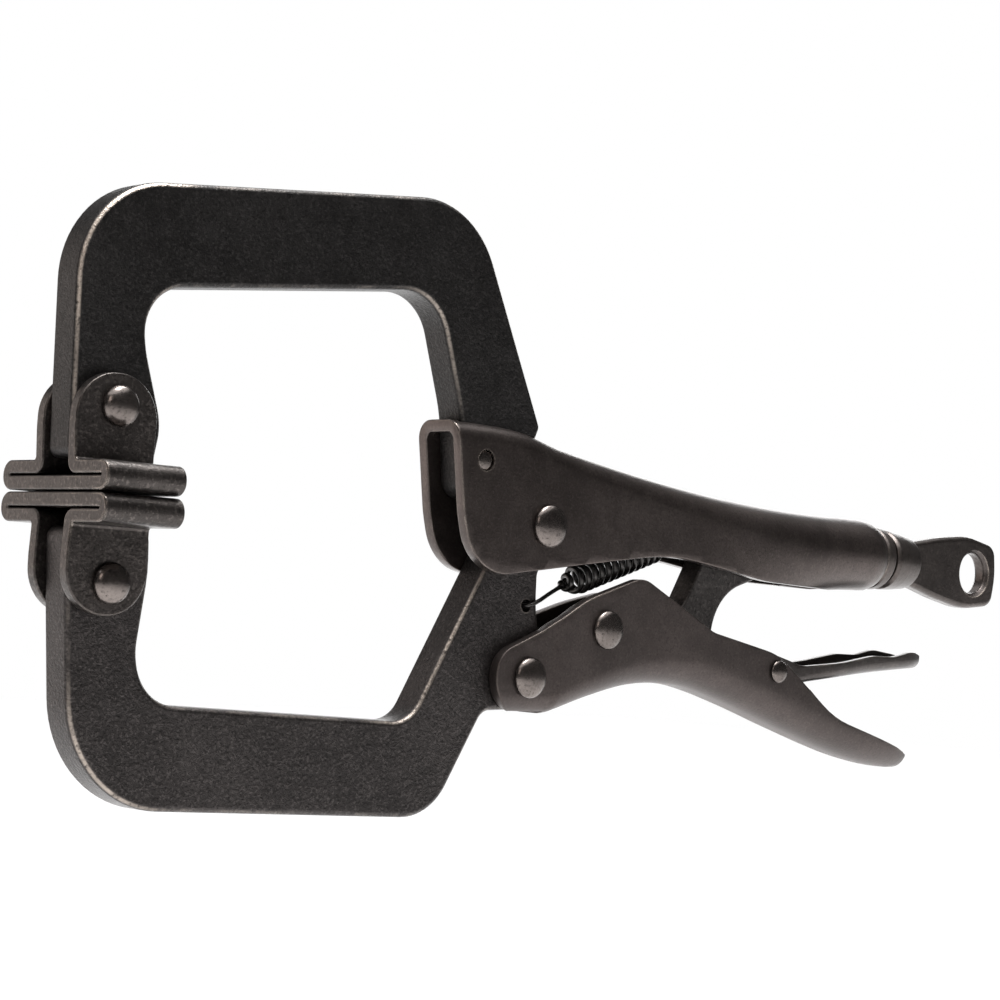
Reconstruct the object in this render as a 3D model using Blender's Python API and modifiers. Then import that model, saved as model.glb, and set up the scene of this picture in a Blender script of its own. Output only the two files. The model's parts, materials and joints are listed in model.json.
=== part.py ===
"""Locking C-clamp with swivel pads: two forged arms, folded-sheet handles, an over-centre toggle,
an adjusting screw, a release lever and a tension spring.

Outlines are written in millimetres in the plane of the clamp: x runs from the pads to the adjusting
screw, z is up, and z = 0 is the plane where the two pads meet. CLAMP_CENTRE then puts the middle of
the whole tool at the world origin.
"""

import math

import bmesh
import bpy
from mathutils import Matrix, Vector

MM = 0.001

# Where the middle of the tool's overall box lies in the outlines' own coordinates (x, z).
CLAMP_CENTRE = (140.35, 3.44)

# Plates and sheets, in millimetres.
ARM_THICKNESS = 8.0
ARM_EDGE_ROUND = 1.2
LINK_EDGE_ROUND = 0.6
SMALLEST_ROUND = 0.06  # what is left of a corner tighter than the round along its edge
SHEET = 2.6
LINK_THICKNESS = 6.0
RELEASE_SHEET = 1.8
PADDLE_THICKNESS = 4.4
GAP = 0.2  # running gap between touching pieces

HANDLE_HALF_WIDTH = ARM_THICKNESS / 2 + GAP + SHEET
LEVER_HALF_WIDTH = HANDLE_HALF_WIDTH + 0.5
PAD_LENGTH = 17.4
PAD_HALF_WIDTH = 18.0
EAR_OUTER = 6.8  # half width over a pad's ears

# Pivots in the plane of the clamp (x, z).
JAW_PIVOT = (119.4, 1.8)
LEVER_PIVOT = (116.1, -30.6)
LINK_PIVOT = (137.9, -19.5)
RELEASE_PIVOT = (192.8, -26.7)
UPPER_PAD_PIVOT = (8.9, 16.4)
LOWER_PAD_PIVOT = (9.4, -16.5)
TANG_RIVET = (100.5, 14.3)
SPRING_HOLE = (116.6, -15.4)
SPRING_HOLE_RADIUS = 1.4
SPRING_ANCHOR = (164.4, 1.8)

# Rivets: head radius, head height and shank radius.
PIVOT_RIVET = (4.6, 2.3, 3.2)
LEVER_RIVET = (4.35, 2.3, 3.0)
LINK_RIVET = (4.25, 2.2, 3.0)
RELEASE_RIVET = (2.6, 1.4, 1.7)
PAD_RIVET = (3.95, 2.6, 2.7)
TANG_RIVET_RADIUS = 2.1

# Adjusting screw: its axis passes through SCREW_AXIS_POINT and dips towards the tail.
SCREW_AXIS_POINT = (240.0, 1.7)
SCREW_DIP = math.radians(2.2)
SCREW_RADIUS = 3.65
SCREW_TIP_X = 207.6

# Tension spring.
SPRING_WIRE = 0.65  # wire radius
SPRING_RADIUS = 2.75  # to the middle of the wire
SPRING_TURNS = 14
SPRING_START = 14.2  # from the hook hole to the first coil, along the spring
SPRING_PITCH = 2.1
POINTS_PER_TURN = 12

# The spring's hooks as (along the spring, part of the way out to the lower arm's near side), from the
# hole in the lower arm, and as (along, across, sideways), from the tab's eye.
LOWER_HOOK = [(1.1, 1.0), (4.2, 1.0), (6.6, 0.75), (10.0, 0.30)]
UPPER_HOOK = [(-3.0, 0.0, -0.8), (-1.5, 0.0, 0.0), (2.4, 0.0, 0.0), (3.2, -0.9, 0.0)]

# How finely round shapes are drawn: the largest turn between two points of an outline's corner,
# points round a channel's corner and down its wall, and the distance between a channel's sections.
OVERSHOOT = 1.0  # how far a cutter runs past each face it goes through
SLOT_OVERCUT = 0.04  # how far a slot's cutter enters the walls, so that no face lies on another
RELEASE_BULGE = 1.05  # the lower handle's extra half width where the release rivet is
HOOK_CLEARANCE = 0.25  # between the spring's hook and the lower arm's side
HOOK_DEPTH = 1.5  # how far past the lower arm's middle the hook's end reaches
HOOK_BEND_START = 1.1
HOOK_BEND = 0.35
FIRST_TURN_SHARE = 0.6  # radius where the spring's first turn begins, as a share of its full radius

ARC_STEP = math.radians(18)
STEP_SLACK = 1e-6  # keeps a corner of a whole number of steps from gaining one by rounding
EDGE_STEPS = 3
CORNER_STEPS = 5
WALL_STEPS = 5
RING_SPACING = 12.0
TURNED_STEPS = 24

UPPER_ARM = [
    (0.7, 6.3, 2.0),
    (-0.5, 57.9, 20.0),
    (95.9, 68.8, 20.0),
    (118.0, 22.9, 1.8),
    (116.4, 19.0, 4.0),
    (116.4, 11.0, 1.5),
    (114.0, 10.2, 5.0),
    (108.8, 5.6, 3.0),
    (97.4, 6.6, 4.0),
    (95.2, 24.0, 30.0),
    (87.1, 48.5, 11.0),
    (14.8, 39.5, 9.0),
    (16.2, 28.0, 24.0),
    (20.8, 14.0, 12.0),
    (19.4, 6.3, 2.0),
]

LOWER_ARM = [
    (1.2, -6.3, 2.0),
    (2.0, -20.0, 60.0),
    (5.4, -58.6, 22.5),
    (93.5, -60.5, 13.0),
    (106.4, -38.0, 4.0),
    (122.8, -37.2, 6.6),
    (122.6, -27.0, 6.8),
    (120.0, -16.0, 30.0),
    (119.8, -6.9, 3.0),
    (127.2, -5.0, 6.0),
    (127.2, 9.6, 7.6),
    (111.6, 9.6, 7.6),
    (109.0, 0.8, 6.0),
    (86.2, -40.8, 7.5),
    (20.4, -38.7, 9.5),
    (18.3, -29.0, 12.0),
    (20.1, -14.0, 30.0),
    (19.7, -6.3, 2.0),
]

# The upper handle's channel: x, height of its closed top, corner radius, extra half width, length of
# its walls below the corner, and how far those walls are rolled in to make a barrel (0 to 1).
UPPER_CHANNEL = [
    (86.0, 22.3, 4.2, 0.0, 30.0, 0.0),
    (104.0, 22.2, 4.2, 0.0, 30.0, 0.0),
    (113.0, 21.4, 4.2, 0.0, 30.0, 0.0),
    (124.0, 18.8, 4.4, 0.0, 28.0, 0.0),
    (143.0, 15.9, 5.2, 0.2, 24.0, 0.0),
    (160.0, 13.8, 6.0, 0.5, 18.0, 0.0),
    (178.0, 12.1, 7.0, 0.9, 14.0, 0.1),
    (196.0, 11.1, 7.7, 1.3, 13.5, 0.4),
    (212.0, 10.8, 8.3, 1.7, 13.5, 0.8),
    (225.0, 10.9, 8.6, 1.9, 11.0, 1.0),
    (229.0, 10.7, 8.4, 1.7, 11.0, 1.0),
    (231.2, 9.9, 7.7, 1.0, 10.0, 1.0),
]
BARREL_CENTRE_Z = 2.1
BARREL_WRAP = math.radians(76)  # how far below its widest line the barrel's sheet reaches

# What the channel keeps in the side view; the line above it stays clear of its closed top.
UPPER_TRIM = [
    (91.8, 26.0, 0.0),
    (95.2, 3.0, 25.0),
    (98.9, -10.6, 11.5),
    (128.8, -6.0, 60.0),
    (156.8, -1.9, 60.0),
    (188.8, -6.1, 60.0),
    (221.0, -6.9, 0.0),
    (222.0, -12.0, 0.0),
    (240.0, -12.0, 0.0),
    (240.0, 26.0, 0.0),
]
SPRING_TAB = ((163.2, -2.6, -0.4), (165.6, 2.6, 12.0))  # the low and high corners of the tab
TANG_SLOT = (94.7, 118.9)  # the slot in the channel's top where the upper arm enters it, in x

# The lower handle's channel, closed underneath: the same values as for the upper one.
LOWER_CHANNEL = [
    (100.0, -38.2, 4.2, -0.5, 28.0, 0.0),
    (121.2, -38.2, 4.2, -0.5, 28.0, 0.0),
    (126.0, -37.7, 4.8, 0.0, 28.0, 0.0),
    (136.0, -34.5, 5.4, 0.0, 27.0, 0.0),
    (148.0, -31.6, 5.8, 0.0, 24.0, 0.0),
    (157.3, -30.7, 6.0, 0.4, 22.0, 0.0),
    (168.0, -31.4, 6.3, 0.8, 16.0, 0.0),
    (184.0, -35.2, 6.6, 1.0, 13.0, 0.0),
    (202.0, -40.5, 6.9, 1.0, 10.0, 0.0),
    (220.0, -45.5, 7.2, 1.0, 4.0, 0.0),
    (232.0, -47.9, 7.4, 1.0, 2.0, 0.0),
    (239.0, -48.7, 6.8, 0.2, 1.5, 0.0),
    (244.4, -48.8, 5.0, -1.7, 1.0, 0.0),
    (247.0, -48.0, 2.9, -4.2, 1.0, 0.0),
]
LOWER_WEB_START = 122.4

LOWER_TRIM = [
    (107.0, -26.0, 6.5),
    (120.3, -20.2, 30.0),
    (131.8, -13.2, 30.0),
    (148.6, -7.4, 6.5),
    (171.2, -18.6, 8.0),
    (193.3, -22.8, 20.0),
    (214.0, -37.0, 30.0),
    (238.8, -43.6, 8.0),
    (251.0, -47.6, 0.0),
    (250.0, -60.0, 0.0),
    (114.9, -60.0, 0.0),
    (114.9, -38.1, 0.0),
    (107.0, -38.1, 7.2),
]

# What is cut from the top of the wall on the far side, which stands lower than the near one.
FAR_WALL_CUT = [
    (119.0, -19.9, 0.0),
    (137.0, -13.8, 30.0),
    (150.0, -10.6, 12.0),
    (167.0, -17.3, 0.0),
    (167.0, 0.0, 0.0),
    (119.0, 0.0, 0.0),
]

TOGGLE_LINK = [
    (133.2, -24.1, 4.6),
    (133.2, -14.9, 4.5),
    (148.0, -15.4, 20.0),
    (165.0, -14.6, 7.0),
    (174.2, 2.6, 12.0),
    (196.0, 5.8, 30.0),
    (203.4, 6.2, 3.3),
    (203.4, -0.9, 3.3),
    (177.2, -9.9, 13.0),
    (174.8, -22.8, 4.0),
    (150.0, -25.0, 40.0),
]

# The release lever's channel: the same values again.
RELEASE_CHANNEL = [
    (176.0, -30.6, 1.9, 0.0, 10.0, 0.0),
    (202.0, -30.0, 1.9, 0.0, 9.0, 0.0),
    (208.0, -28.9, 2.0, 0.8, 8.0, 0.0),
    (214.5, -27.8, 2.2, 2.4, 7.0, 0.0),
    (228.0, -26.0, 2.4, 2.6, 6.0, 0.0),
    (243.0, -24.5, 2.4, 2.6, 5.0, 0.0),
    (247.6, -24.2, 2.3, 1.1, 4.0, 0.0),
    (249.6, -23.9, 2.1, -1.4, 3.0, 0.0),
]
RELEASE_HALF_WIDTH = 4.4

RELEASE_TRIM = [
    (177.6, -23.4, 2.0),
    (192.8, -22.0, 6.0),
    (206.0, -25.2, 10.0),
    (218.0, -23.8, 12.0),
    (229.0, -21.8, 15.0),
    (236.5, -21.8, 10.0),
    (243.0, -20.3, 8.0),
    (248.8, -21.2, 3.0),
    (252.0, -26.0, 0.0),
    (252.0, -40.0, 0.0),
    (177.6, -40.0, 0.0),
]

# The adjusting screw along its own axis, from SCREW_AXIS_POINT: (along, radius).
SCREW_NECK = [(-3.6, 6.8), (-3.0, 7.3), (1.0, 7.0), (5.6, 6.4), (7.8, 4.4)]
NECK_START = -3.8

PADDLE_EDGE_ROUND = 1.3

# The paddle on the end of the screw, from SCREW_AXIS_POINT: its upper half, mirrored below the axis.
PADDLE = [
    (3.0, 4.5, 0.0),
    (17.5, 7.6, 40.0),
    (29.0, 9.3, 25.0),
    (40.2, 7.6, 3.5),
    (41.4, 0.0, 20.0),
]
PADDLE_HOLE = (32.0, 5.1)  # centre along the axis, radius

# The screw nut: (along, radius) from SCREW_AXIS_POINT, and its bore.
SCREW_NUT = [(-15.0, 4.4), (-8.4, 4.4), (-8.2, 7.3), (-7.6, 7.6), (-5.6, 7.6), (-4.9, 7.0)]
NUT_BORE = 3.9

# The upper pad's section: half of it, as (y, z, corner radius), from its middle out and back.
PAD_SECTION = [
    (PAD_HALF_WIDTH, 0.15, 2.7),
    (PAD_HALF_WIDTH, 5.8, 2.7),
    (EAR_OUTER, 5.8, 0.8),
    (EAR_OUTER, 24.0, 0.0),
    (EAR_OUTER - SHEET, 24.0, 0.0),
    (EAR_OUTER - SHEET, 3.2, 2.6),
    (15.6, 3.2, 0.14),
    (15.6, 2.9, 0.14),
]

# What a pad keeps in the side view.
PAD_TRIM = [
    (0.0, -1.0, 0.0),
    (0.0, 6.0, 0.0),
    (-0.3, 12.0, 12.0),
    (-0.1, 22.6, 8.6),
    (17.8, 22.6, 8.6),
    (17.4, 10.0, 20.0),
    (17.4, -1.0, 0.0),
]


def clear_scene():
    for obj in list(bpy.data.objects):
        bpy.data.objects.remove(obj)


def new_collection(name):
    collection = bpy.data.collections.new(name)
    bpy.context.scene.collection.children.link(collection)
    return collection


def make_material(name, colour, roughness, metallic):
    material = bpy.data.materials.new(name)
    material.use_nodes = True
    shader = material.node_tree.nodes["Principled BSDF"]
    shader.inputs["Base Color"].default_value = (*colour, 1.0)
    shader.inputs["Roughness"].default_value = roughness
    shader.inputs["Metallic"].default_value = metallic
    return material


def corner_arc(before, corner, after, radius):
    """The points of the round that replaces a corner; one point if it has no radius."""
    first = (Vector(before) - Vector(corner)).normalized()
    second = (Vector(after) - Vector(corner)).normalized()
    turn = math.pi - first.angle(second)
    if radius == 0 or turn < math.radians(1):
        return [Vector(corner)]
    setback = radius * math.tan(turn / 2)
    start = Vector(corner) + first * setback
    middle = (first + second).normalized() * (radius / math.cos(turn / 2)) + Vector(corner)
    spoke = start - middle
    side = math.copysign(1, first.x * second.y - first.y * second.x)
    steps = max(1, math.ceil(turn / ARC_STEP - STEP_SLACK))
    return [
        middle + Matrix.Rotation(-side * turn * i / steps, 2) @ spoke
        for i in range(steps + 1)
    ]


def rounded(corners):
    """An outline's points, from corners given as x, z and the radius of the round there."""
    points = []
    for i, (x, z, radius) in enumerate(corners):
        before = corners[i - 1][:2]
        after = corners[(i + 1) % len(corners)][:2]
        points += corner_arc(before, (x, z), after, radius)
    return points


def circle(centre, radius, steps=32):
    turns = [2 * math.pi * i / steps for i in range(steps)]
    return [Vector(centre) + radius * Vector((math.cos(a), math.sin(a))) for a in turns]


def add_object(name, mesh, collection):
    obj = bpy.data.objects.new(name, mesh)
    collection.objects.link(obj)
    obj.parent = clamp
    return obj


def slab_mesh(name, outlines, thickness, middle=0.0):
    """A flat plate in the plane of the clamp, from one outline and any holes in it."""
    curve = bpy.data.curves.new(name, "CURVE")
    curve.dimensions = "2D"
    curve.fill_mode = "BOTH"
    curve.extrude = thickness / 2 * MM
    for outline in outlines:
        spline = curve.splines.new("POLY")
        spline.points.add(len(outline) - 1)
        spline.use_cyclic_u = True
        for point, place in zip(spline.points, outline):
            point.co = (place[0] * MM, place[1] * MM, 0, 1)
    flat = bpy.data.objects.new(name, curve)
    bpy.context.scene.collection.objects.link(flat)
    graph = bpy.context.evaluated_depsgraph_get()
    mesh = bpy.data.meshes.new_from_object(flat.evaluated_get(graph))
    bpy.data.objects.remove(flat)
    mesh.transform(Matrix.Rotation(math.pi / 2, 4, "X"))
    mesh.transform(Matrix.Translation((0, middle * MM, 0)))
    tidy_mesh(mesh)
    return mesh


def tidy_mesh(mesh):
    """Joins the doubled points along a mesh's seams and turns its faces outwards."""
    work = bmesh.new()
    work.from_mesh(mesh)
    bmesh.ops.remove_doubles(work, verts=work.verts, dist=0.001 * MM)
    bmesh.ops.recalc_face_normals(work, faces=work.faces)
    work.to_mesh(mesh)
    work.free()


def inset(corners, distance):
    """The same corners with every side moved inwards, and the rounds kept concentric."""
    points = [Vector((x, z)) for x, z, _ in corners]
    area = sum(a.x * b.y - b.x * a.y for a, b in zip(points, points[1:] + points[:1]))
    turn = 1 if area > 0 else -1
    moved = []
    for i, (x, z, radius) in enumerate(corners):
        come = (points[i] - points[i - 1]).normalized()
        leave = (points[(i + 1) % len(points)] - points[i]).normalized()
        first = Vector((-come.y, come.x)) * turn
        second = Vector((-leave.y, leave.x)) * turn
        step = (first + second) / (1 + first.dot(second)) * distance
        convex = (come.x * leave.y - come.y * leave.x) * turn > 0
        new_radius = radius - distance if convex else radius + distance
        new_radius = max(new_radius, SMALLEST_ROUND) if radius else 0.0
        moved.append((x + step.x, z + step.y, new_radius))
    return moved


def rounded_plate(name, corners, thickness, edge_round):
    """A flat plate whose edges are rounded all the way along its outline."""
    levels = []
    for i in range(EDGE_STEPS + 1):
        a = math.pi / 2 * i / EDGE_STEPS
        levels.append((edge_round * (1 - math.sin(a)), thickness / 2 - edge_round * (1 - math.cos(a))))
    levels += [(distance, -y) for distance, y in reversed(levels)]
    work = bmesh.new()
    rings = []
    for distance, y in levels:
        outline = rounded(inset(corners, distance))
        rings.append([work.verts.new(Vector((p[0], y, p[1])) * MM) for p in outline])
    count = len(rings[0])
    for here, there in zip(rings, rings[1:]):
        for i in range(count):
            j = (i + 1) % count
            work.faces.new((here[i], here[j], there[j], there[i]))
    work.faces.new(rings[0][::-1])
    work.faces.new(rings[-1])
    bmesh.ops.recalc_face_normals(work, faces=work.faces)
    mesh = bpy.data.meshes.new(name)
    work.to_mesh(mesh)
    work.free()
    return mesh


def plate(name, corners, thickness, material, edge_round):
    obj = add_object(name, rounded_plate(name, corners, thickness, edge_round), parts)
    obj.data.materials.append(material)
    return obj


def cutter(name, mesh):
    obj = add_object(name, mesh, cutters)
    obj.hide_render = True
    obj.display_type = "WIRE"
    return obj


def boolean(obj, other, operation):
    modifier = obj.modifiers.new(f"{operation.lower()}_{other.name}", "BOOLEAN")
    modifier.operation = operation
    modifier.solver = "EXACT"
    modifier.object = other


def pin_cutter(name, centre, radius, half_length=30.0):
    return cutter(name, slab_mesh(name, [circle(centre, radius)], 2 * half_length))


def box_cutter(name, low, high):
    mesh = bpy.data.meshes.new(name)
    work = bmesh.new()
    size = Vector(high) - Vector(low)
    middle = (Vector(high) + Vector(low)) / 2
    place = Matrix.Translation(middle * MM) @ Matrix.Diagonal((*(size * MM), 1))
    bmesh.ops.create_cube(work, size=1, matrix=place)
    work.to_mesh(mesh)
    work.free()
    return cutter(name, mesh)


def set_pivot(obj, x, z):
    """Moves an object's origin to a joint's axis without moving its shape."""
    point = Vector((x * MM, 0, z * MM))
    obj.data.transform(Matrix.Translation(-point))
    obj.location = point


def smooth(obj, angle=40):
    """Shades round pieces smooth and keeps their sharp edges."""
    obj.data.shade_smooth()
    obj.data.set_sharp_from_angle(angle=math.radians(angle))


def turned(name, profile, material, hollow=False):
    """A round piece about its own z axis, from its outer side's (height, radius) from the top down."""
    mesh = bpy.data.meshes.new(name)
    work = bmesh.new()
    verts = [work.verts.new((radius * MM, 0, height * MM)) for height, radius in profile]
    for a, b in zip(verts, verts[1:]):
        work.edges.new((a, b))
    if hollow:
        work.edges.new((verts[-1], verts[0]))
    work.to_mesh(mesh)
    work.free()
    obj = add_object(name, mesh, parts)
    screw = obj.modifiers.new("turn", "SCREW")
    screw.steps = TURNED_STEPS
    screw.render_steps = TURNED_STEPS
    screw.use_merge_vertices = True
    screw.merge_threshold = 0.001 * MM
    screw.use_smooth_shade = True
    obj.data.materials.append(material)
    return obj


def rivet(name, place, sizes, half_grip, material):
    """A pin with a low dome at each end, standing across the clamp."""
    head, height, shank = sizes
    angles = [math.radians(d) for d in (90, 65, 40, 18, 0)]
    dome = [(half_grip + 0.6 + (height - 0.6) * math.sin(a), head * math.cos(a)) for a in angles]
    side = [*dome, (half_grip + 0.05, head), (half_grip + 0.05, shank)]
    obj = turned(name, side + [(-h, radius) for h, radius in reversed(side)], material)
    obj.location = (place[0] * MM, 0, place[1] * MM)
    obj.rotation_euler = (math.pi / 2, 0, 0)
    return obj


def interpolate(stations, x):
    """The stations' values at x, on a smooth curve through them."""
    last = len(stations) - 1
    i = max(k for k in range(last) if stations[k][0] <= x or k == 0)
    t = (x - stations[i][0]) / (stations[i + 1][0] - stations[i][0])
    before, after = stations[max(i - 1, 0)], stations[min(i + 2, last)]
    here, there = stations[i], stations[i + 1]
    values = []
    for k in range(1, len(here)):
        span = there[0] - here[0]
        slope_in = (there[k] - before[k]) / (there[0] - before[0]) * span
        slope_out = (after[k] - here[k]) / (after[0] - here[0]) * span
        values.append(
            (2 * t**3 - 3 * t**2 + 1) * here[k]
            + (t**3 - 2 * t**2 + t) * slope_in
            + (3 * t**2 - 2 * t**3) * there[k]
            + (t**3 - t**2) * slope_out
        )
    return values


def channel_section(half_width, sheet, station, up):
    """A U-shaped section as (y, z) points: round its outer side, back round its inner side.

    up is 1 where the closed side is on top and -1 where it is underneath.
    """
    web, corner, extra, reach, curl = station

    def side(width, level, radius):
        points = []
        for i in range(CORNER_STEPS + 1):
            a = math.pi / 2 * i / CORNER_STEPS
            outwards = width - radius + radius * math.sin(a)
            points.append((outwards, level - up * radius * (1 - math.cos(a))))
        for i in range(1, WALL_STEPS + 1):
            a = BARREL_WRAP * i / WALL_STEPS
            straight = level - up * (radius + reach * i / WALL_STEPS)
            rolled = BARREL_CENTRE_Z - width * math.sin(a)
            y = width * (1 - curl + curl * math.cos(a))
            points.append((y, straight + curl * (rolled - straight)))
        return points

    width = half_width + extra
    outer = side(width, web, corner)
    inner = side(max(width - sheet, 0.3), web - up * sheet, max(corner - sheet, 0.25))
    right = outer + inner[::-1]
    return right + [(-y, z) for y, z in reversed(right)]


def channel_mesh(name, stations, half_width, sheet, up):
    """A folded channel: its section runs through the stations on a smooth curve, between flat ends."""
    mesh = bpy.data.meshes.new(name)
    work = bmesh.new()
    first, last = stations[0][0], stations[-1][0]
    places = sorted({s[0] for s in stations} | set(frange(first, last, RING_SPACING)))
    loops = []
    for x in places:
        ring = channel_section(half_width, sheet, interpolate(stations, x), up)
        loops.append([work.verts.new((x * MM, y * MM, z * MM)) for y, z in ring])
    count = len(loops[0])
    for here, there in zip(loops, loops[1:]):
        for i in range(count):
            j = (i + 1) % count
            work.faces.new((here[i], here[j], there[j], there[i]))
    half = count // 2
    for ring in (loops[0], loops[-1]):
        work.faces.new((ring[0], ring[half - 1], ring[half], ring[count - 1]))
        for i in range(half // 2 - 1):
            work.faces.new((ring[i], ring[i + 1], ring[half - 2 - i], ring[half - 1 - i]))
            near, far = count - 1 - i, half + i
            work.faces.new((ring[near], ring[near - 1], ring[far + 1], ring[far]))
    work.to_mesh(mesh)
    work.free()
    tidy_mesh(mesh)
    return mesh


def frange(first, last, step):
    """Evenly spaced values strictly between two ends, at most step apart."""
    count = math.ceil((last - first) / step)
    return [first + (last - first) * i / count for i in range(1, count)]


clear_scene()
parts = new_collection("locking_c_clamp")
cutters = new_collection("cutters")
clamp = bpy.data.objects.new("clamp", None)
clamp.location = (-CLAMP_CENTRE[0] * MM, 0, -CLAMP_CENTRE[1] * MM)
parts.objects.link(clamp)

arm_steel = make_material("arm_steel", (0.060, 0.054, 0.050), 0.50, 0.75)
lower_arm_steel = make_material("lower_arm_steel", (0.060, 0.054, 0.050), 0.50, 0.75)
handle_steel = make_material("handle_steel", (0.090, 0.082, 0.078), 0.36, 0.80)
lower_handle_steel = make_material("lower_handle_steel", (0.085, 0.078, 0.074), 0.38, 0.80)
pad_steel = make_material("pad_steel", (0.065, 0.060, 0.058), 0.45, 0.75)
lower_pad_steel = make_material("lower_pad_steel", (0.065, 0.060, 0.058), 0.45, 0.75)
link_steel = make_material("link_steel", (0.100, 0.092, 0.088), 0.42, 0.80)
release_steel = make_material("release_steel", (0.080, 0.074, 0.070), 0.40, 0.80)
rivet_steel = make_material("rivet_steel", (0.035, 0.033, 0.032), 0.22, 0.85)
spring_steel = make_material("spring_steel", (0.040, 0.038, 0.037), 0.28, 0.85)
screw_steel = make_material("screw_steel", (0.110, 0.104, 0.100), 0.40, 0.80)
nut_steel = make_material("nut_steel", (0.150, 0.140, 0.135), 0.38, 0.80)

# Arms
upper_arm = plate("upper_arm", UPPER_ARM, ARM_THICKNESS, arm_steel, ARM_EDGE_ROUND)
lower_arm = plate(
    "lower_arm", LOWER_ARM, ARM_THICKNESS, lower_arm_steel, ARM_EDGE_ROUND
)
upper_pad_bore = pin_cutter("upper_pad_bore", UPPER_PAD_PIVOT, PAD_RIVET[2] + GAP)
lower_pad_bore = pin_cutter("lower_pad_bore", LOWER_PAD_PIVOT, PAD_RIVET[2] + GAP)
tang_bore = pin_cutter("tang_bore", TANG_RIVET, TANG_RIVET_RADIUS + GAP / 2)
jaw_bore = pin_cutter("jaw_bore", JAW_PIVOT, PIVOT_RIVET[2] + GAP)
lever_bore = pin_cutter("lever_bore", LEVER_PIVOT, LEVER_RIVET[2] + GAP)
spring_bore = pin_cutter("spring_bore", SPRING_HOLE, SPRING_HOLE_RADIUS)
boolean(upper_arm, upper_pad_bore, "DIFFERENCE")
boolean(upper_arm, tang_bore, "DIFFERENCE")
for bore in (lower_pad_bore, jaw_bore, lever_bore, spring_bore):
    boolean(lower_arm, bore, "DIFFERENCE")
set_pivot(lower_arm, *JAW_PIVOT)

# Upper handle
upper_handle = add_object(
    "upper_handle",
    channel_mesh("upper_handle", UPPER_CHANNEL, HANDLE_HALF_WIDTH, SHEET, 1),
    parts,
)
upper_handle.data.materials.append(handle_steel)
upper_trim = cutter("upper_trim", slab_mesh("upper_trim", [rounded(UPPER_TRIM)], 60))
boolean(upper_handle, upper_trim, "INTERSECT")
slot_half_width = ARM_THICKNESS / 2 + GAP + SLOT_OVERCUT
tang_slot = box_cutter(
    "tang_slot",
    (TANG_SLOT[0], -slot_half_width, 10.0),
    (TANG_SLOT[1], slot_half_width, 30.0),
)
spring_tab = box_cutter("spring_tab", *SPRING_TAB)
boolean(upper_handle, spring_tab, "UNION")
tab_eye = cutter("tab_eye", slab_mesh("tab_eye", [circle((0, 0), 1.3, 16)], 8))
tab_eye.location = (SPRING_ANCHOR[0] * MM, 0, SPRING_ANCHOR[1] * MM)
tab_eye.rotation_euler = (0, 0, math.pi / 2)
for bore in (tang_slot, tang_bore, jaw_bore, tab_eye):
    boolean(upper_handle, bore, "DIFFERENCE")
smooth(upper_handle)

# Lower handle
lower_handle = add_object(
    "lower_handle",
    channel_mesh("lower_handle", LOWER_CHANNEL, LEVER_HALF_WIDTH, SHEET, -1),
    parts,
)
lower_handle.data.materials.append(lower_handle_steel)
lower_trim = cutter("lower_trim", slab_mesh("lower_trim", [rounded(LOWER_TRIM)], 60))
boolean(lower_handle, lower_trim, "INTERSECT")
arm_gap = box_cutter(
    "arm_gap",
    (95.0, -slot_half_width, -45.0),
    (LOWER_WEB_START, slot_half_width, -10.0),
)
far_wall_cut = cutter(
    "far_wall_cut", slab_mesh("far_wall_cut", [rounded(FAR_WALL_CUT)], 20, middle=10.0)
)
link_bore = pin_cutter("link_bore", LINK_PIVOT, LINK_RIVET[2] + GAP)
release_bore = pin_cutter("release_bore", RELEASE_PIVOT, RELEASE_RIVET[2] + GAP)
for bore in (arm_gap, far_wall_cut, lever_bore, link_bore, release_bore):
    boolean(lower_handle, bore, "DIFFERENCE")
smooth(lower_handle)
set_pivot(lower_handle, *LEVER_PIVOT)

# Toggle link and release lever
toggle_link = plate("toggle_link", TOGGLE_LINK, LINK_THICKNESS, link_steel, LINK_EDGE_ROUND)
boolean(toggle_link, link_bore, "DIFFERENCE")
set_pivot(toggle_link, *LINK_PIVOT)

release_lever = add_object(
    "release_lever",
    channel_mesh("release_lever", RELEASE_CHANNEL, RELEASE_HALF_WIDTH, RELEASE_SHEET, -1),
    parts,
)
release_lever.data.materials.append(release_steel)
release_trim = cutter("release_trim", slab_mesh("release_trim", [rounded(RELEASE_TRIM)], 60))
boolean(release_lever, release_trim, "INTERSECT")
boolean(release_lever, release_bore, "DIFFERENCE")
smooth(release_lever)
set_pivot(release_lever, *RELEASE_PIVOT)

# Adjusting screw and its nut, along the screw's own axis
tip_along = (SCREW_TIP_X - SCREW_AXIS_POINT[0]) / math.cos(SCREW_DIP)
screw_side = [
    (SCREW_NECK[-1][0], 0.0),
    *SCREW_NECK[::-1],
    (NECK_START, 5.6),
    (NECK_START, SCREW_RADIUS),
    (tip_along + 1.2, SCREW_RADIUS),
    (tip_along, SCREW_RADIUS - 1.2),
    (tip_along, 0.0),
]
adjusting_screw = turned("adjusting_screw", screw_side, screw_steel)
upper_half = PADDLE[:-1]
lower_half = [(along, -out, radius) for along, out, radius in reversed(upper_half)]
paddle_hole = circle((PADDLE_HOLE[0], 0), PADDLE_HOLE[1])
paddle_plate = cutter(
    "paddle_plate",
    rounded_plate(
        "paddle_plate", upper_half + PADDLE[-1:] + lower_half, PADDLE_THICKNESS, PADDLE_EDGE_ROUND
    ),
)
paddle_bore = cutter(
    "paddle_bore", slab_mesh("paddle_bore", [paddle_hole], PADDLE_THICKNESS + 2 * OVERSHOOT)
)
boolean(adjusting_screw, paddle_plate, "UNION")
boolean(adjusting_screw, paddle_bore, "DIFFERENCE")
nut_bore = [(SCREW_NUT[0][0], NUT_BORE), (SCREW_NUT[-1][0], NUT_BORE)]
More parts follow.
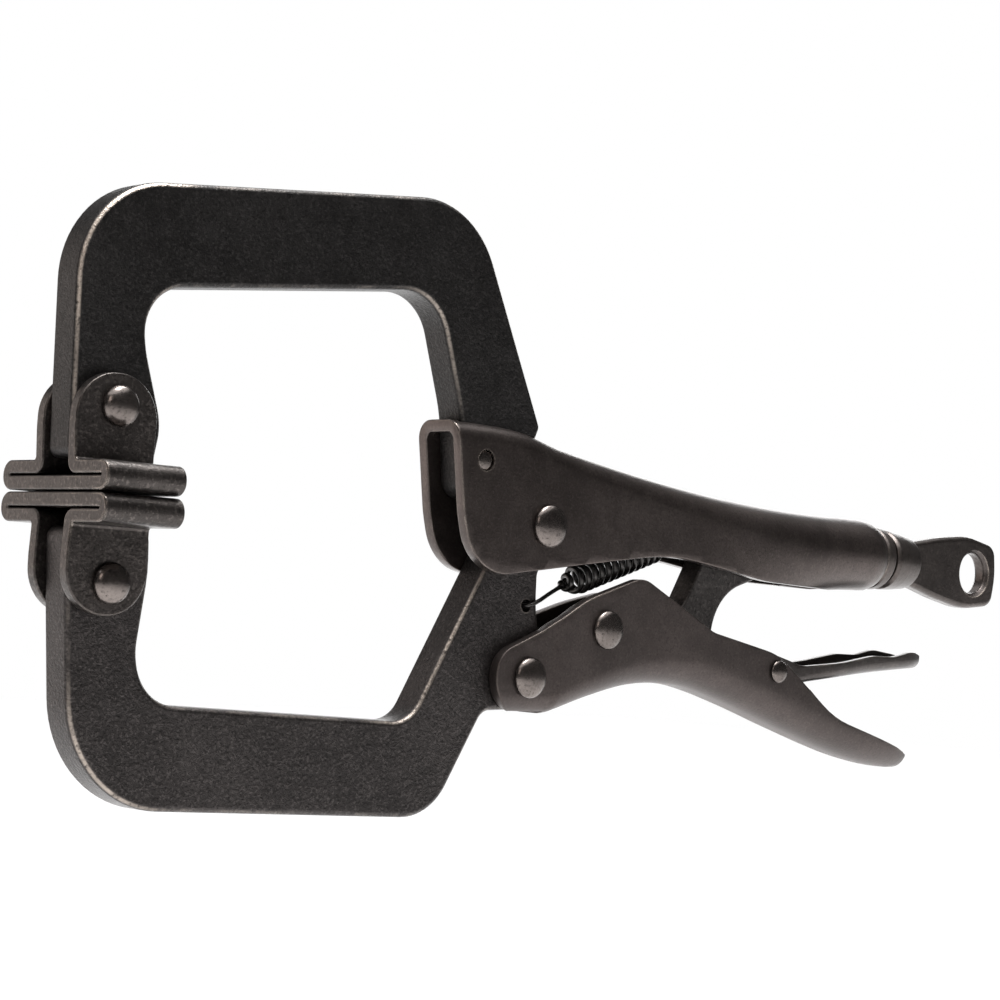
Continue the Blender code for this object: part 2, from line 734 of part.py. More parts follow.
screw_nut = turned("screw_nut", SCREW_NUT[::-1] + nut_bore, nut_steel, hollow=True)
axis_place = Vector((SCREW_AXIS_POINT[0], 0, SCREW_AXIS_POINT[1])) * MM
for obj in (adjusting_screw, screw_nut):
    obj.location = axis_place
    obj.rotation_euler = (0, math.pi / 2 + SCREW_DIP, 0)
for obj in (paddle_plate, paddle_bore):
    obj.location = axis_place
    obj.rotation_euler = (0, SCREW_DIP, 0)

# Rivets
for name, place, sizes, half_grip in (
    ("jaw_pivot_rivet", JAW_PIVOT, PIVOT_RIVET, HANDLE_HALF_WIDTH),
    ("lever_pivot_rivet", LEVER_PIVOT, LEVER_RIVET, HANDLE_HALF_WIDTH),
    ("link_rivet", LINK_PIVOT, LINK_RIVET, LEVER_HALF_WIDTH),
    ("release_rivet", RELEASE_PIVOT, RELEASE_RIVET, LEVER_HALF_WIDTH + RELEASE_BULGE),
    ("upper_pad_rivet", UPPER_PAD_PIVOT, PAD_RIVET, EAR_OUTER),
    ("lower_pad_rivet", LOWER_PAD_PIVOT, PAD_RIVET, EAR_OUTER),
):
    smooth_rivet = rivet(name, place, sizes, half_grip, rivet_steel.copy())
    smooth_rivet.data.materials[0].name = name
tang_end = HANDLE_HALF_WIDTH - 0.05
tang_rivet = turned(
    "tang_rivet",
    [
        (tang_end, 0.0),
        (tang_end, TANG_RIVET_RADIUS),
        (-tang_end, TANG_RIVET_RADIUS),
        (-tang_end, 0.0),
    ],
    rivet_steel,
)
tang_rivet.location = (TANG_RIVET[0] * MM, 0, TANG_RIVET[1] * MM)
tang_rivet.rotation_euler = (math.pi / 2, 0, 0)

# Swivel pads
pad_outline = rounded(PAD_SECTION + [(-y, z, r) for y, z, r in reversed(PAD_SECTION)])
for name, place, up, material in (
    ("upper_pad", UPPER_PAD_PIVOT, 1, pad_steel),
    ("lower_pad", LOWER_PAD_PIVOT, -1, lower_pad_steel),
):
    folded = slab_mesh(name, [pad_outline], PAD_LENGTH + 2)
    folded.transform(Matrix.Rotation(math.pi / 2, 4, "Z"))
    folded.transform(Matrix.Translation((PAD_LENGTH / 2 * MM, 0, 0)))
    outline = slab_mesh(f"{name}_outline", [rounded(PAD_TRIM)], 60)
    for mesh in (folded, outline):
        mesh.transform(Matrix.Diagonal((1, 1, up, 1)))
        tidy_mesh(mesh)
    pad = add_object(name, folded, parts)
    pad.data.materials.append(material)
    boolean(pad, cutter(f"{name}_outline", outline), "INTERSECT")
    bore = upper_pad_bore if up == 1 else lower_pad_bore
    boolean(pad, bore, "DIFFERENCE")
    smooth(pad)
    set_pivot(pad, *place)

# Tension spring, from the hole in the lower arm to the tab in the upper handle
start = Vector((SPRING_HOLE[0], 0, SPRING_HOLE[1]))
along = Vector((SPRING_ANCHOR[0], 0, SPRING_ANCHOR[1])) - start
reach = along.length
along.normalize()
across = Vector((-along.z, 0, along.x))
sideways = Vector((0, 1, 0))
hook_side = -(ARM_THICKNESS / 2 + SPRING_WIRE + HOOK_CLEARANCE)
path = [
    start + HOOK_DEPTH * sideways,
    start + (hook_side + HOOK_BEND_START) * sideways,
    start + HOOK_BEND * along + (hook_side + HOOK_BEND) * sideways,
]
path += [start + step * along + share * hook_side * sideways for step, share in LOWER_HOOK]
for i in range(SPRING_TURNS * POINTS_PER_TURN + 1):
    turn = 2 * math.pi * i / POINTS_PER_TURN
    taper = min(1, FIRST_TURN_SHARE + (1 - FIRST_TURN_SHARE) * i / POINTS_PER_TURN)
    radius = SPRING_RADIUS * taper
    centre = start + (SPRING_START + SPRING_PITCH * i / POINTS_PER_TURN) * along
    path.append(centre + radius * (math.sin(turn) * across - math.cos(turn) * sideways))
eye = start + reach * along
path += [eye + step * along + up * across + out * sideways for step, up, out in UPPER_HOOK]
wire = bpy.data.curves.new("tension_spring", "CURVE")
wire.dimensions = "3D"
wire.bevel_depth = SPRING_WIRE * MM
wire.bevel_resolution = 2
wire.use_fill_caps = True
spline = wire.splines.new("POLY")
spline.points.add(len(path) - 1)
for point, place in zip(spline.points, path):
    point.co = (*(place * MM), 1)
tension_spring = add_object("tension_spring", wire, parts)
tension_spring.data.materials.append(spring_steel)
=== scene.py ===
"""The locking C-clamp's looks: smooth pieces and worn black steel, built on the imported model's frame.

Outlines are in millimetres in the plane of the clamp, as in the CAD source: x runs from the pads to the
adjusting screw, z is up, and z = 0 is where the pads meet. place() moves them into the frame.
"""

import json
import math

import bmesh
import bpy
from mathutils import Matrix, Vector


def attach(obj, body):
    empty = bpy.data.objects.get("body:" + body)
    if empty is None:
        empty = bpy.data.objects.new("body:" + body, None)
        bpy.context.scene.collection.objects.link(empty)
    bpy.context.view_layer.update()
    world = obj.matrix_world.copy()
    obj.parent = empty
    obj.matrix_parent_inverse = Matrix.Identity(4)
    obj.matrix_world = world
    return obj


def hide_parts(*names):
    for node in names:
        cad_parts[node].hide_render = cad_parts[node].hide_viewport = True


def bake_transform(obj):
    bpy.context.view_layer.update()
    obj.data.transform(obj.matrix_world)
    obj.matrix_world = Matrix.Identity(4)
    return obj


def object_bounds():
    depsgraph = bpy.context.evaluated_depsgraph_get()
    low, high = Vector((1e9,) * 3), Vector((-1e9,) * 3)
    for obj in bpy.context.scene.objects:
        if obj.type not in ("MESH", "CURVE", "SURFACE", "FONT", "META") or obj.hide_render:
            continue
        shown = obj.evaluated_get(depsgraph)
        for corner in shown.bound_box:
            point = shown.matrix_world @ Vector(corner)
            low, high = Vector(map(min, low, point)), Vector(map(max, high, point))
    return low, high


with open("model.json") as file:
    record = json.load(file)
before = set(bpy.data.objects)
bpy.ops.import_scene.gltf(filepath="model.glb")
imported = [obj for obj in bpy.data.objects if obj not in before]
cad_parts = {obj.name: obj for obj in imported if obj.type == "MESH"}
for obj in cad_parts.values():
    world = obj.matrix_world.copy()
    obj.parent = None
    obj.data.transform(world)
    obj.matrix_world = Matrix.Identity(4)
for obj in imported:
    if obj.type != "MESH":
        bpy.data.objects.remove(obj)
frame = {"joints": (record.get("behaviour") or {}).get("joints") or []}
cad_low, cad_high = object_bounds()

MM = 0.001

# Plates and sheets, in millimetres.
ARM_THICKNESS = 8.0
ARM_EDGE_ROUND = 1.2
SHEET = 2.6
LINK_THICKNESS = 6.0
RELEASE_SHEET = 1.8
PADDLE_THICKNESS = 4.4
GAP = 0.2  # running gap between touching pieces

HANDLE_HALF_WIDTH = ARM_THICKNESS / 2 + GAP + SHEET
LEVER_HALF_WIDTH = HANDLE_HALF_WIDTH + 0.5
PAD_LENGTH = 17.4
PAD_HALF_WIDTH = 18.0
EAR_OUTER = 6.8  # half width over a pad's ears

# Pivots in the plane of the clamp (x, z).
JAW_PIVOT = (119.4, 1.8)
LEVER_PIVOT = (116.1, -30.6)
LINK_PIVOT = (137.9, -19.5)
RELEASE_PIVOT = (192.8, -26.7)
UPPER_PAD_PIVOT = (8.9, 16.4)
LOWER_PAD_PIVOT = (9.4, -16.5)
TANG_RIVET = (100.5, 14.3)
SPRING_HOLE = (116.6, -15.4)
SPRING_HOLE_RADIUS = 1.4
SPRING_ANCHOR = (164.4, 1.8)

# Rivets: head radius, head height and shank radius.
PIVOT_RIVET = (4.6, 2.3, 3.2)
LEVER_RIVET = (4.35, 2.3, 3.0)
LINK_RIVET = (4.25, 2.2, 3.0)
RELEASE_RIVET = (2.6, 1.4, 1.7)
PAD_RIVET = (3.95, 2.6, 2.7)
TANG_RIVET_RADIUS = 2.1
TANG_SUNK = 0.05  # how far its end lies inside the handle's side
TANG_CROWN = 0.6
RIVET_RIM = 0.45  # how high above the sheet a head's dome starts
RIVET_UNDERSIDE = ((0.15, 0.1), (0.05, 0.35))  # (above the sheet, inside the head's radius)
RELEASE_BULGE = 1.05  # a little over the lower handle's extra half width at the release rivet

# Adjusting screw: its axis passes through SCREW_AXIS_POINT and dips towards the tail.
SCREW_AXIS_POINT = (240.0, 1.7)
SCREW_DIP = math.radians(2.2)
SCREW_RADIUS = 3.65
SCREW_TIP_X = 207.6

# Tension spring.
SPRING_WIRE = 0.65  # wire radius
SPRING_RADIUS = 2.75  # to the middle of the wire
SPRING_TURNS = 14
SPRING_START = 14.2  # from the hook hole to the first coil, along the spring
SPRING_PITCH = 2.1
POINTS_PER_TURN = 28

# The spring's hooks as (along the spring, part of the way out to the lower arm's near side), from the
# hole in the lower arm, and as (along, across, sideways), from the tab's eye.
LOWER_HOOK = [(1.1, 1.0), (4.2, 0.82), (8.0, 0.50), (12.0, 0.22)]
UPPER_HOOK = [(-3.0, 0.0, -0.8), (-1.5, 0.0, 0.0), (2.4, 0.0, 0.0), (3.2, -0.9, 0.0)]
HOOK_CLEARANCE = 0.25  # between the hook's wire and the arm's side
HOOK_DEPTH = 1.5  # how far the hook's end reaches past the arm's middle
HOOK_BEND_START = 1.1  # how far inside the hook's outer line its wire starts to bend
HOOK_BEND = 0.35
HOOK_WIRE_SHARE = 0.72  # the hook is drawn thinner than the coils
FIRST_TURN_SHARE = 0.10  # the first turns wind outwards, which closes the spring's end
OPENING_TURNS = 2.2  # how many turns that takes

# How finely round shapes are drawn.
ARC_STEP = math.radians(5)
STEP_SLACK = 1e-6  # keeps a corner of a whole number of steps from gaining one by rounding
CORNER_STEPS = 10
WALL_STEPS = 10
RING_SPACING = 2.5
CLOSEST_RINGS = 0.3  # a channel's rings that are closer than this are drawn as one
SMALLEST_INSIDE = (0.3, 0.25)  # the least inner half width and inner corner radius of a channel
TURNED_STEPS = 72
THREAD_STEPS = 48
PIN_STEPS = 64
DOME_STEPS = 12
EDGE_STEPS = 6  # across the round of a plate's edge
SOFT_STEPS = 3  # across a softened edge
SHARP_ANGLE = math.radians(38)  # edges sharper than this are softened
SMALLEST_ROUND = 0.06  # what a corner keeps when its side is moved in past its radius
WELD = 0.001
CUT_WELD = 0.02  # wider, for the points that cuts leave close together
ROUND_WELD = 0.004
CUTTER_DEPTH = 60.0  # more than the clamp's width

# How far the edges of the folded pieces and of the toggle link are rounded.
HANDLE_EDGE_ROUND = 0.3
RELEASE_EDGE_ROUND = 0.2
PAD_EDGE_ROUND = 0.4
LINK_EDGE_ROUND = 0.6

UPPER_ARM = [
    (0.7, 6.3, 2.0),
    (-0.5, 57.9, 20.0),
    (95.9, 68.8, 20.0),
    (118.0, 22.9, 1.8),
    (116.4, 19.0, 4.0),
    (116.4, 11.0, 1.5),
    (114.0, 10.2, 5.0),
    (108.8, 5.6, 3.0),
    (97.4, 6.6, 4.0),
    (95.2, 24.0, 30.0),
    (87.1, 48.5, 11.0),
    (14.8, 39.5, 9.0),
    (16.2, 28.0, 24.0),
    (20.8, 14.0, 12.0),
    (19.4, 6.3, 2.0),
]

LOWER_ARM = [
    (1.2, -6.3, 2.0),
    (2.0, -20.0, 60.0),
    (5.4, -58.6, 22.5),
    (93.5, -60.5, 13.0),
    (106.4, -38.0, 4.0),
    (122.8, -37.2, 6.6),
    (122.6, -27.0, 6.8),
    (120.0, -16.0, 30.0),
    (119.8, -6.9, 3.0),
    (127.2, -5.0, 6.0),
    (127.2, 9.6, 7.6),
    (111.6, 9.6, 7.6),
    (109.0, 0.8, 6.0),
    (86.2, -40.8, 7.5),
    (20.4, -38.7, 9.5),
    (18.3, -29.0, 12.0),
    (20.1, -14.0, 30.0),
    (19.7, -6.3, 2.0),
]

# The upper handle's channel: x, height of its closed top, corner radius, extra half width, length of
# its walls below the corner, and how far those walls are rolled in to make a barrel (0 to 1).
UPPER_CHANNEL = [
    (86.0, 22.3, 4.2, 0.0, 30.0, 0.0),
    (104.0, 22.2, 4.2, 0.0, 30.0, 0.0),
    (113.0, 21.4, 4.2, 0.0, 30.0, 0.0),
    (124.0, 18.8, 4.4, 0.0, 28.0, 0.0),
    (143.0, 15.9, 5.2, 0.2, 24.0, 0.0),
    (160.0, 13.8, 6.0, 0.5, 18.0, 0.0),
    (178.0, 12.1, 7.0, 0.9, 14.0, 0.1),
    (196.0, 11.1, 7.7, 1.3, 13.5, 0.4),
    (212.0, 10.8, 8.3, 1.7, 13.5, 0.8),
    (225.0, 10.9, 8.6, 1.9, 11.0, 1.0),
    (229.0, 10.7, 8.4, 1.7, 11.0, 1.0),
    (231.2, 9.9, 7.7, 1.0, 10.0, 1.0),
]
BARREL_CENTRE_Z = 2.1
BARREL_WRAP = math.radians(76)  # how far below its widest line the barrel's sheet reaches

# What the channel keeps in the side view; the line above it stays clear of its closed top.
UPPER_TRIM = [
    (91.8, 26.0, 0.0),
    (95.2, 3.0, 25.0),
    (98.9, -10.6, 11.5),
    (128.8, -6.0, 60.0),
    (156.8, -1.9, 60.0),
    (188.8, -6.1, 60.0),
    (221.0, -6.9, 0.0),
    (222.0, -12.0, 0.0),
    (240.0, -12.0, 0.0),
    (240.0, 26.0, 0.0),
]
SPRING_TAB = ((163.2, -2.6, -0.4), (165.6, 2.6, 12.0))  # the low and high corners of the tab
TANG_SLOT = ((94.7, 10), (118.9, 30))  # low and high corners (x, z) of the upper arm's slot in its top

# The lower handle's channel, closed underneath: the same values as for the upper one.
LOWER_CHANNEL = [
    (100.0, -38.2, 4.2, -0.5, 28.0, 0.0),
    (122.9, -38.2, 4.2, -0.5, 28.0, 0.0),
    (124.5, -37.9, 4.6, 0.0, 28.0, 0.0),
    (136.0, -34.5, 5.4, 0.0, 27.0, 0.0),
    (148.0, -31.6, 5.8, 0.0, 24.0, 0.0),
    (157.3, -30.7, 6.0, 0.4, 22.0, 0.0),
    (168.0, -31.4, 6.3, 0.8, 16.0, 0.0),
    (184.0, -35.2, 6.6, 1.0, 13.0, 0.0),
    (202.0, -40.5, 6.9, 1.0, 10.0, 0.0),
    (220.0, -45.5, 7.2, 1.0, 4.0, 0.0),
    (232.0, -47.9, 7.4, 1.0, 2.0, 0.0),
    (239.0, -48.7, 6.8, 0.2, 1.5, 0.0),
    (244.4, -48.8, 5.0, -1.7, 1.0, 0.0),
    (247.0, -48.0, 2.9, -4.2, 1.0, 0.0),
]
LOWER_SLOT = ((95, -45), (122.4, -10))  # the same for the lower arm; the handle is closed beyond it

LOWER_TRIM = [
    (107.0, -26.0, 6.5),
    (120.3, -20.2, 30.0),
    (131.8, -13.2, 30.0),
    (148.6, -7.4, 6.5),
    (171.2, -18.6, 8.0),
    (193.3, -22.8, 20.0),
    (214.0, -37.0, 30.0),
    (238.8, -43.6, 8.0),
    (251.0, -47.6, 0.0),
    (250.0, -60.0, 0.0),
    (114.9, -60.0, 0.0),
    (114.9, -38.1, 0.0),
    (107.0, -38.1, 7.2),
]

# What is cut from the top of the wall on the far side, which stands lower than the near one.
FAR_WALL_CUT = [
    (119.0, -19.9, 0.0),
    (137.0, -13.8, 30.0),
    (150.0, -10.6, 12.0),
    (167.0, -17.3, 0.0),
    (167.0, 0.0, 0.0),
    (119.0, 0.0, 0.0),
]
FAR_CUT_WIDTH = 20.0  # from the middle outwards

TOGGLE_LINK = [
    (133.2, -24.1, 4.6),
    (133.2, -14.9, 4.5),
    (148.0, -15.4, 20.0),
    (165.0, -14.6, 7.0),
    (174.2, 2.6, 12.0),
    (196.0, 5.8, 30.0),
    (203.4, 6.2, 3.3),
    (203.4, -0.9, 3.3),
    (177.2, -9.9, 13.0),
    (174.8, -22.8, 4.0),
    (150.0, -25.0, 40.0),
]

# The release lever's channel: the same values again.
RELEASE_CHANNEL = [
    (176.0, -30.6, 1.9, 0.0, 10.0, 0.0),
    (202.0, -30.0, 1.9, 0.0, 9.0, 0.0),
    (208.0, -28.9, 2.0, 0.8, 8.0, 0.0),
    (214.5, -27.8, 2.2, 2.4, 7.0, 0.0),
    (228.0, -26.0, 2.4, 2.6, 6.0, 0.0),
    (243.0, -24.5, 2.4, 2.6, 5.0, 0.0),
    (247.6, -24.2, 2.3, 1.1, 4.0, 0.0),
    (249.6, -23.9, 2.1, -1.4, 3.0, 0.0),
]
RELEASE_HALF_WIDTH = 4.4

RELEASE_TRIM = [
    (177.6, -23.4, 2.0),
    (192.8, -22.0, 6.0),
    (206.0, -25.2, 10.0),
    (218.0, -23.8, 12.0),
    (229.0, -21.8, 15.0),
    (236.5, -21.8, 10.0),
    (243.0, -20.3, 8.0),
    (248.8, -21.2, 3.0),
    (252.0, -26.0, 0.0),
    (252.0, -40.0, 0.0),
    (177.6, -40.0, 0.0),
]

# The screw's collar along its own axis, from SCREW_AXIS_POINT: (along, radius, corner radius).
NECK_START = -3.8
SCREW_COLLAR = [
    (NECK_START, 0, 0),
    (NECK_START, 6.7, 0.5),
    (-3.0, 7.3, 0.9),
    (1.0, 7.0, 2.5),
    (5.6, 6.4, 1.8),
    (7.8, 4.4, 0.8),
    (7.8, 0, 0),
]
ROD_IN_COLLAR = 1.0

THREAD_PITCH = 1.5
THREAD_DEPTH = 0.45
THREAD_ROWS = 8  # rings of points in one pitch
THREAD_FADE = 1.2  # how far from either end the thread reaches its full depth
THREAD_CREST = 1.35  # over 1 flattens the crests

PADDLE_EDGE_ROUND = 1.3

# The paddle on the end of the screw, from SCREW_AXIS_POINT: its upper half, mirrored below the axis.
PADDLE = [
    (3.0, 4.5, 0.0),
    (17.5, 7.6, 40.0),
    (29.0, 9.3, 25.0),
    (40.2, 7.6, 3.5),
    (41.4, 0.0, 20.0),
]
PADDLE_HOLE = (32.0, 5.1)  # centre along the axis, radius
HOLE_ROUND = 0.9
HOLE_CORNER = 1.2
HOLE_CUTTER = (4.0, 1.7)  # how far its cutter reaches from the middle, and how much wider it is there

# The screw nut's section, given like the collar's.
NUT_BORE = 3.9
SCREW_NUT = [
    (-15.0, NUT_BORE, 0),
    (-15.0, 4.4, 0.1),
    (-8.4, 4.4, 0.2),
    (-8.2, 7.3, 0.2),
    (-7.6, 7.6, 0.5),
    (-5.6, 7.6, 0.8),
    (-4.9, 7.0, 0.5),
    (-4.9, NUT_BORE, 0),
]

# The upper pad's section: half of it, as (y, z, corner radius), from its middle out and back.
PAD_SECTION = [
    (PAD_HALF_WIDTH, 0.15, 2.7),
    (PAD_HALF_WIDTH, 5.8, 2.7),
    (EAR_OUTER, 5.8, 0.8),
    (EAR_OUTER, 24.0, 0.0),
    (EAR_OUTER - SHEET, 24.0, 0.0),
    (EAR_OUTER - SHEET, 3.2, 2.6),
    (15.6, 3.2, 0.14),
    (15.6, 2.9, 0.14),
]

# What a pad keeps in the side view.
PAD_TRIM = [
    (0.0, -1.0, 0.0),
    (0.0, 6.0, 0.0),
    (-0.3, 12.0, 12.0),
    (-0.1, 22.6, 8.6),
    (17.8, 22.6, 8.6),
    (17.4, 10.0, 20.0),
    (17.4, -1.0, 0.0),
]
PAD_TRIM_SPARE = 2.0  # how much longer its folded sheet is before that


def corner_arc(before, corner, after, radius):
    """The points of the round that replaces a corner; one point if it has no radius."""
    first = (Vector(before) - Vector(corner)).normalized()
    second = (Vector(after) - Vector(corner)).normalized()
    turn = math.pi - first.angle(second)
    if radius == 0 or turn < math.radians(1):
        return [Vector(corner)]
    setback = radius * math.tan(turn / 2)
    start = Vector(corner) + first * setback
    middle = (first + second).normalized() * (radius / math.cos(turn / 2)) + Vector(corner)
    spoke = start - middle
    side = math.copysign(1, first.x * second.y - first.y * second.x)
    steps = max(1, math.ceil(turn / ARC_STEP - STEP_SLACK))
    return [
        middle + Matrix.Rotation(-side * turn * i / steps, 2) @ spoke
        for i in range(steps + 1)
    ]


def rounded(corners):
    """An outline's points, from corners given as x, z and the radius of the round there."""
    points = []
    for i, (x, z, radius) in enumerate(corners):
        before = corners[i - 1][:2]
        after = corners[(i + 1) % len(corners)][:2]
        points += corner_arc(before, (x, z), after, radius)
    return points


def circle(centre, radius, steps):
    """A circle's points."""
    turns = [2 * math.pi * i / steps for i in range(steps)]
    return [Vector(centre) + radius * Vector((math.cos(a), math.sin(a))) for a in turns]


def interpolate(stations, x):
    """The stations' values at x, on a smooth curve through them."""
    last = len(stations) - 1
    i = max(k for k in range(last) if stations[k][0] <= x or k == 0)
    t = (x - stations[i][0]) / (stations[i + 1][0] - stations[i][0])
    before, after = stations[max(i - 1, 0)], stations[min(i + 2, last)]
    here, there = stations[i], stations[i + 1]
    values = []
    for k in range(1, len(here)):
        span = there[0] - here[0]
        slope_in = (there[k] - before[k]) / (there[0] - before[0]) * span
        slope_out = (after[k] - here[k]) / (after[0] - here[0]) * span
        values.append(
            (2 * t**3 - 3 * t**2 + 1) * here[k]
            + (t**3 - 2 * t**2 + t) * slope_in
            + (3 * t**2 - 2 * t**3) * there[k]
            + (t**3 - t**2) * slope_out
        )
    return values


def channel_section(half_width, sheet, station, up):
    """A U-shaped section as (y, z) points: round its outer side, back round its inner side.

    up is 1 where the closed side is on top and -1 where it is underneath.
    """
    web, corner, extra, reach, curl = station

    def side(width, level, radius):
        points = []
        for i in range(CORNER_STEPS + 1):
            a = math.pi / 2 * i / CORNER_STEPS
            outwards = width - radius + radius * math.sin(a)
            points.append((outwards, level - up * radius * (1 - math.cos(a))))
        for i in range(1, WALL_STEPS + 1):
            a = BARREL_WRAP * i / WALL_STEPS
            straight = level - up * (radius + reach * i / WALL_STEPS)
            rolled = BARREL_CENTRE_Z - width * math.sin(a)
            y = width * (1 - curl + curl * math.cos(a))
            points.append((y, straight + curl * (rolled - straight)))
        return points

    width = half_width + extra
    outer = side(width, web, corner)
    least_width, least_corner = SMALLEST_INSIDE
    inner = side(
        max(width - sheet, least_width), web - up * sheet, max(corner - sheet, least_corner)
    )
    right = outer + inner[::-1]
    return right + [(-y, z) for y, z in reversed(right)]


def frange(first, last, step):
    """Evenly spaced values strictly between two ends, at most step apart."""
    count = math.ceil((last - first) / step)
    return [first + (last - first) * i / count for i in range(1, count)]


jaw_joint = next(j for j in frame["joints"] if j["name"] == "jaw_open")
ORIGIN = Vector(jaw_joint["pos_m"]) - Vector((JAW_PIVOT[0], 0, JAW_PIVOT[1])) * MM


def place(x, y, z):
    """A point of the outlines, in millimetres, as a point of the frame."""
    return ORIGIN + Vector((x, y, z)) * MM


def add_object(name, mesh):
    """An object in the scene, from a mesh or a curve."""
    obj = bpy.data.objects.new(name, mesh)
    bpy.context.scene.collection.objects.link(obj)
    return obj


def slab_mesh(name, outline, thickness, middle=0.0):
    """A flat plate in the plane of the clamp, from its outline, in millimetres."""
    curve = bpy.data.curves.new(name, "CURVE")
    curve.dimensions = "2D"
    curve.fill_mode = "BOTH"
    curve.extrude = thickness / 2
    spline = curve.splines.new("POLY")
    spline.points.add(len(outline) - 1)
    spline.use_cyclic_u = True
    for point, spot in zip(spline.points, outline):
        point.co = (spot[0], spot[1], 0, 1)
    flat = bpy.data.objects.new(name, curve)
    bpy.context.scene.collection.objects.link(flat)
    graph = bpy.context.evaluated_depsgraph_get()
    mesh = bpy.data.meshes.new_from_object(flat.evaluated_get(graph))
    bpy.data.objects.remove(flat)
    mesh.transform(Matrix.Rotation(math.pi / 2, 4, "X"))
    mesh.transform(Matrix.Translation((0, middle, 0)))
    clean(mesh)
    return mesh


def clean(mesh, distance=WELD):
    """Joins doubled points, takes out faces without area, and turns faces outwards."""
    work = bmesh.new()
    work.from_mesh(mesh)
    bmesh.ops.remove_doubles(work, verts=work.verts, dist=distance)
    bmesh.ops.dissolve_degenerate(work, dist=distance, edges=work.edges)
    bmesh.ops.recalc_face_normals(work, faces=work.faces)
    work.to_mesh(mesh)
    work.free()


def apply_modifiers(obj):
    """Gives the object the mesh that its modifiers make."""
    graph = bpy.context.evaluated_depsgraph_get()
    mesh = bpy.data.meshes.new_from_object(obj.evaluated_get(graph))
    obj.modifiers.clear()
    obj.data = mesh
    return obj


def cut(obj, mesh, operation="DIFFERENCE"):
    """Cuts a mesh from the object, or joins or intersects them."""
    other = add_object("cutter", mesh)
    modifier = obj.modifiers.new("cut", "BOOLEAN")
    modifier.operation = operation
    modifier.solver = "EXACT"
    modifier.object = other
    apply_modifiers(obj)
    bpy.data.objects.remove(other)
    return obj


def pin(centre, radius):
    """A round cutter right through the clamp."""
    return slab_mesh("pin", circle(centre, radius, PIN_STEPS), CUTTER_DEPTH)


def block(low, high):
    """A box between two corners."""
    mesh = bpy.data.meshes.new("block")
    work = bmesh.new()
    size = Vector(high) - Vector(low)
    middle = (Vector(high) + Vector(low)) / 2
    bmesh.ops.create_cube(
        work, size=1, matrix=Matrix.Translation(middle) @ Matrix.Diagonal((*size, 1))
    )
    work.to_mesh(mesh)
    work.free()
    return mesh


def slot_block(slot):
    """What opens a channel for an arm: inside the walls, so that it only cuts the closed side."""
    half_width = ARM_THICKNESS / 2 + GAP / 2
    (left, bottom), (right, top) = slot
    return block((left, -half_width, bottom), (right, half_width, top))


def inset(corners, distance):
    """The same corners with every side moved inwards, and the rounds kept concentric."""
    points = [Vector((x, z)) for x, z, _ in corners]
    area = sum(
        a.x * b.y - b.x * a.y for a, b in zip(points, points[1:] + points[:1])
    )
    turn = 1 if area > 0 else -1
    moved = []
    for i, (x, z, radius) in enumerate(corners):
        here = points[i]
        come = (here - points[i - 1]).normalized()
        leave = (points[(i + 1) % len(points)] - here).normalized()
        first = Vector((-come.y, come.x)) * turn
        second = Vector((-leave.y, leave.x)) * turn
        step = (first + second) / (1 + first.dot(second)) * distance
        convex = (come.x * leave.y - come.y * leave.x) * turn > 0
        round_now = radius - distance if convex else radius + distance
        round_now = max(round_now, SMALLEST_ROUND) if radius else 0.0
        moved.append((x + step.x, z + step.y, round_now))
    return moved


def rounded_plate(name, corners, thickness, edge):
    """A flat plate whose edges are rounded all the way along its outline."""
    half = thickness / 2
    levels = []
    for i in range(EDGE_STEPS + 1):
        a = math.pi / 2 * i / EDGE_STEPS
        levels.append((edge * (1 - math.sin(a)), half - edge * (1 - math.cos(a))))
    levels += [(d, -y) for d, y in reversed(levels)]
    mesh = bpy.data.meshes.new(name)
    work = bmesh.new()
    rings = []
    for distance, y in levels:
        outline = rounded(inset(corners, distance))
        rings.append([work.verts.new((p.x, y, p.y)) for p in outline])
    count = len(rings[0])
    for here, there in zip(rings, rings[1:]):
        for i in range(count):
            j = (i + 1) % count
            work.faces.new((here[i], here[j], there[j], there[i]))
    work.faces.new(rings[0][::-1])
    work.faces.new(rings[-1])
    bmesh.ops.recalc_face_normals(work, faces=work.faces)
    work.to_mesh(mesh)
    work.free()
    return mesh


def soften(obj, width):
    """Rounds every sharp edge of a finished shape."""
    mesh = obj.data
    clean(mesh, CUT_WELD)
    work = bmesh.new()
    work.from_mesh(mesh)
    sharp = [e for e in work.edges if len(e.link_faces) == 2 and e.calc_face_angle(0) > SHARP_ANGLE]
    bmesh.ops.bevel(
        work,
        geom=sharp,
        offset=width,
        segments=SOFT_STEPS,
        profile=0.5,
        affect="EDGES",
        clamp_overlap=False,
    )
    bmesh.ops.remove_doubles(work, verts=work.verts, dist=ROUND_WELD)
    bmesh.ops.recalc_face_normals(work, faces=work.faces)
    work.to_mesh(mesh)
    work.free()
    return obj


def finished(obj, material, body, slot, *nodes, smooth_angle=35, weigh=True):
    """Puts a piece that was made in millimetres into the frame, and gives it its finish and body."""
    obj.data.transform(Matrix.Translation(ORIGIN) @ Matrix.Diagonal((MM, MM, MM, 1)))
    obj.data.materials.clear()
    obj.data.materials.append(material)
    obj.data.shade_smooth()
    obj.data.set_sharp_from_angle(angle=math.radians(smooth_angle))
    if weigh:
        weighted = obj.modifiers.new("normals", "WEIGHTED_NORMAL")
        weighted.keep_sharp = True
        weighted.weight = 60
    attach(obj, body)
    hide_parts(*nodes)
    return obj


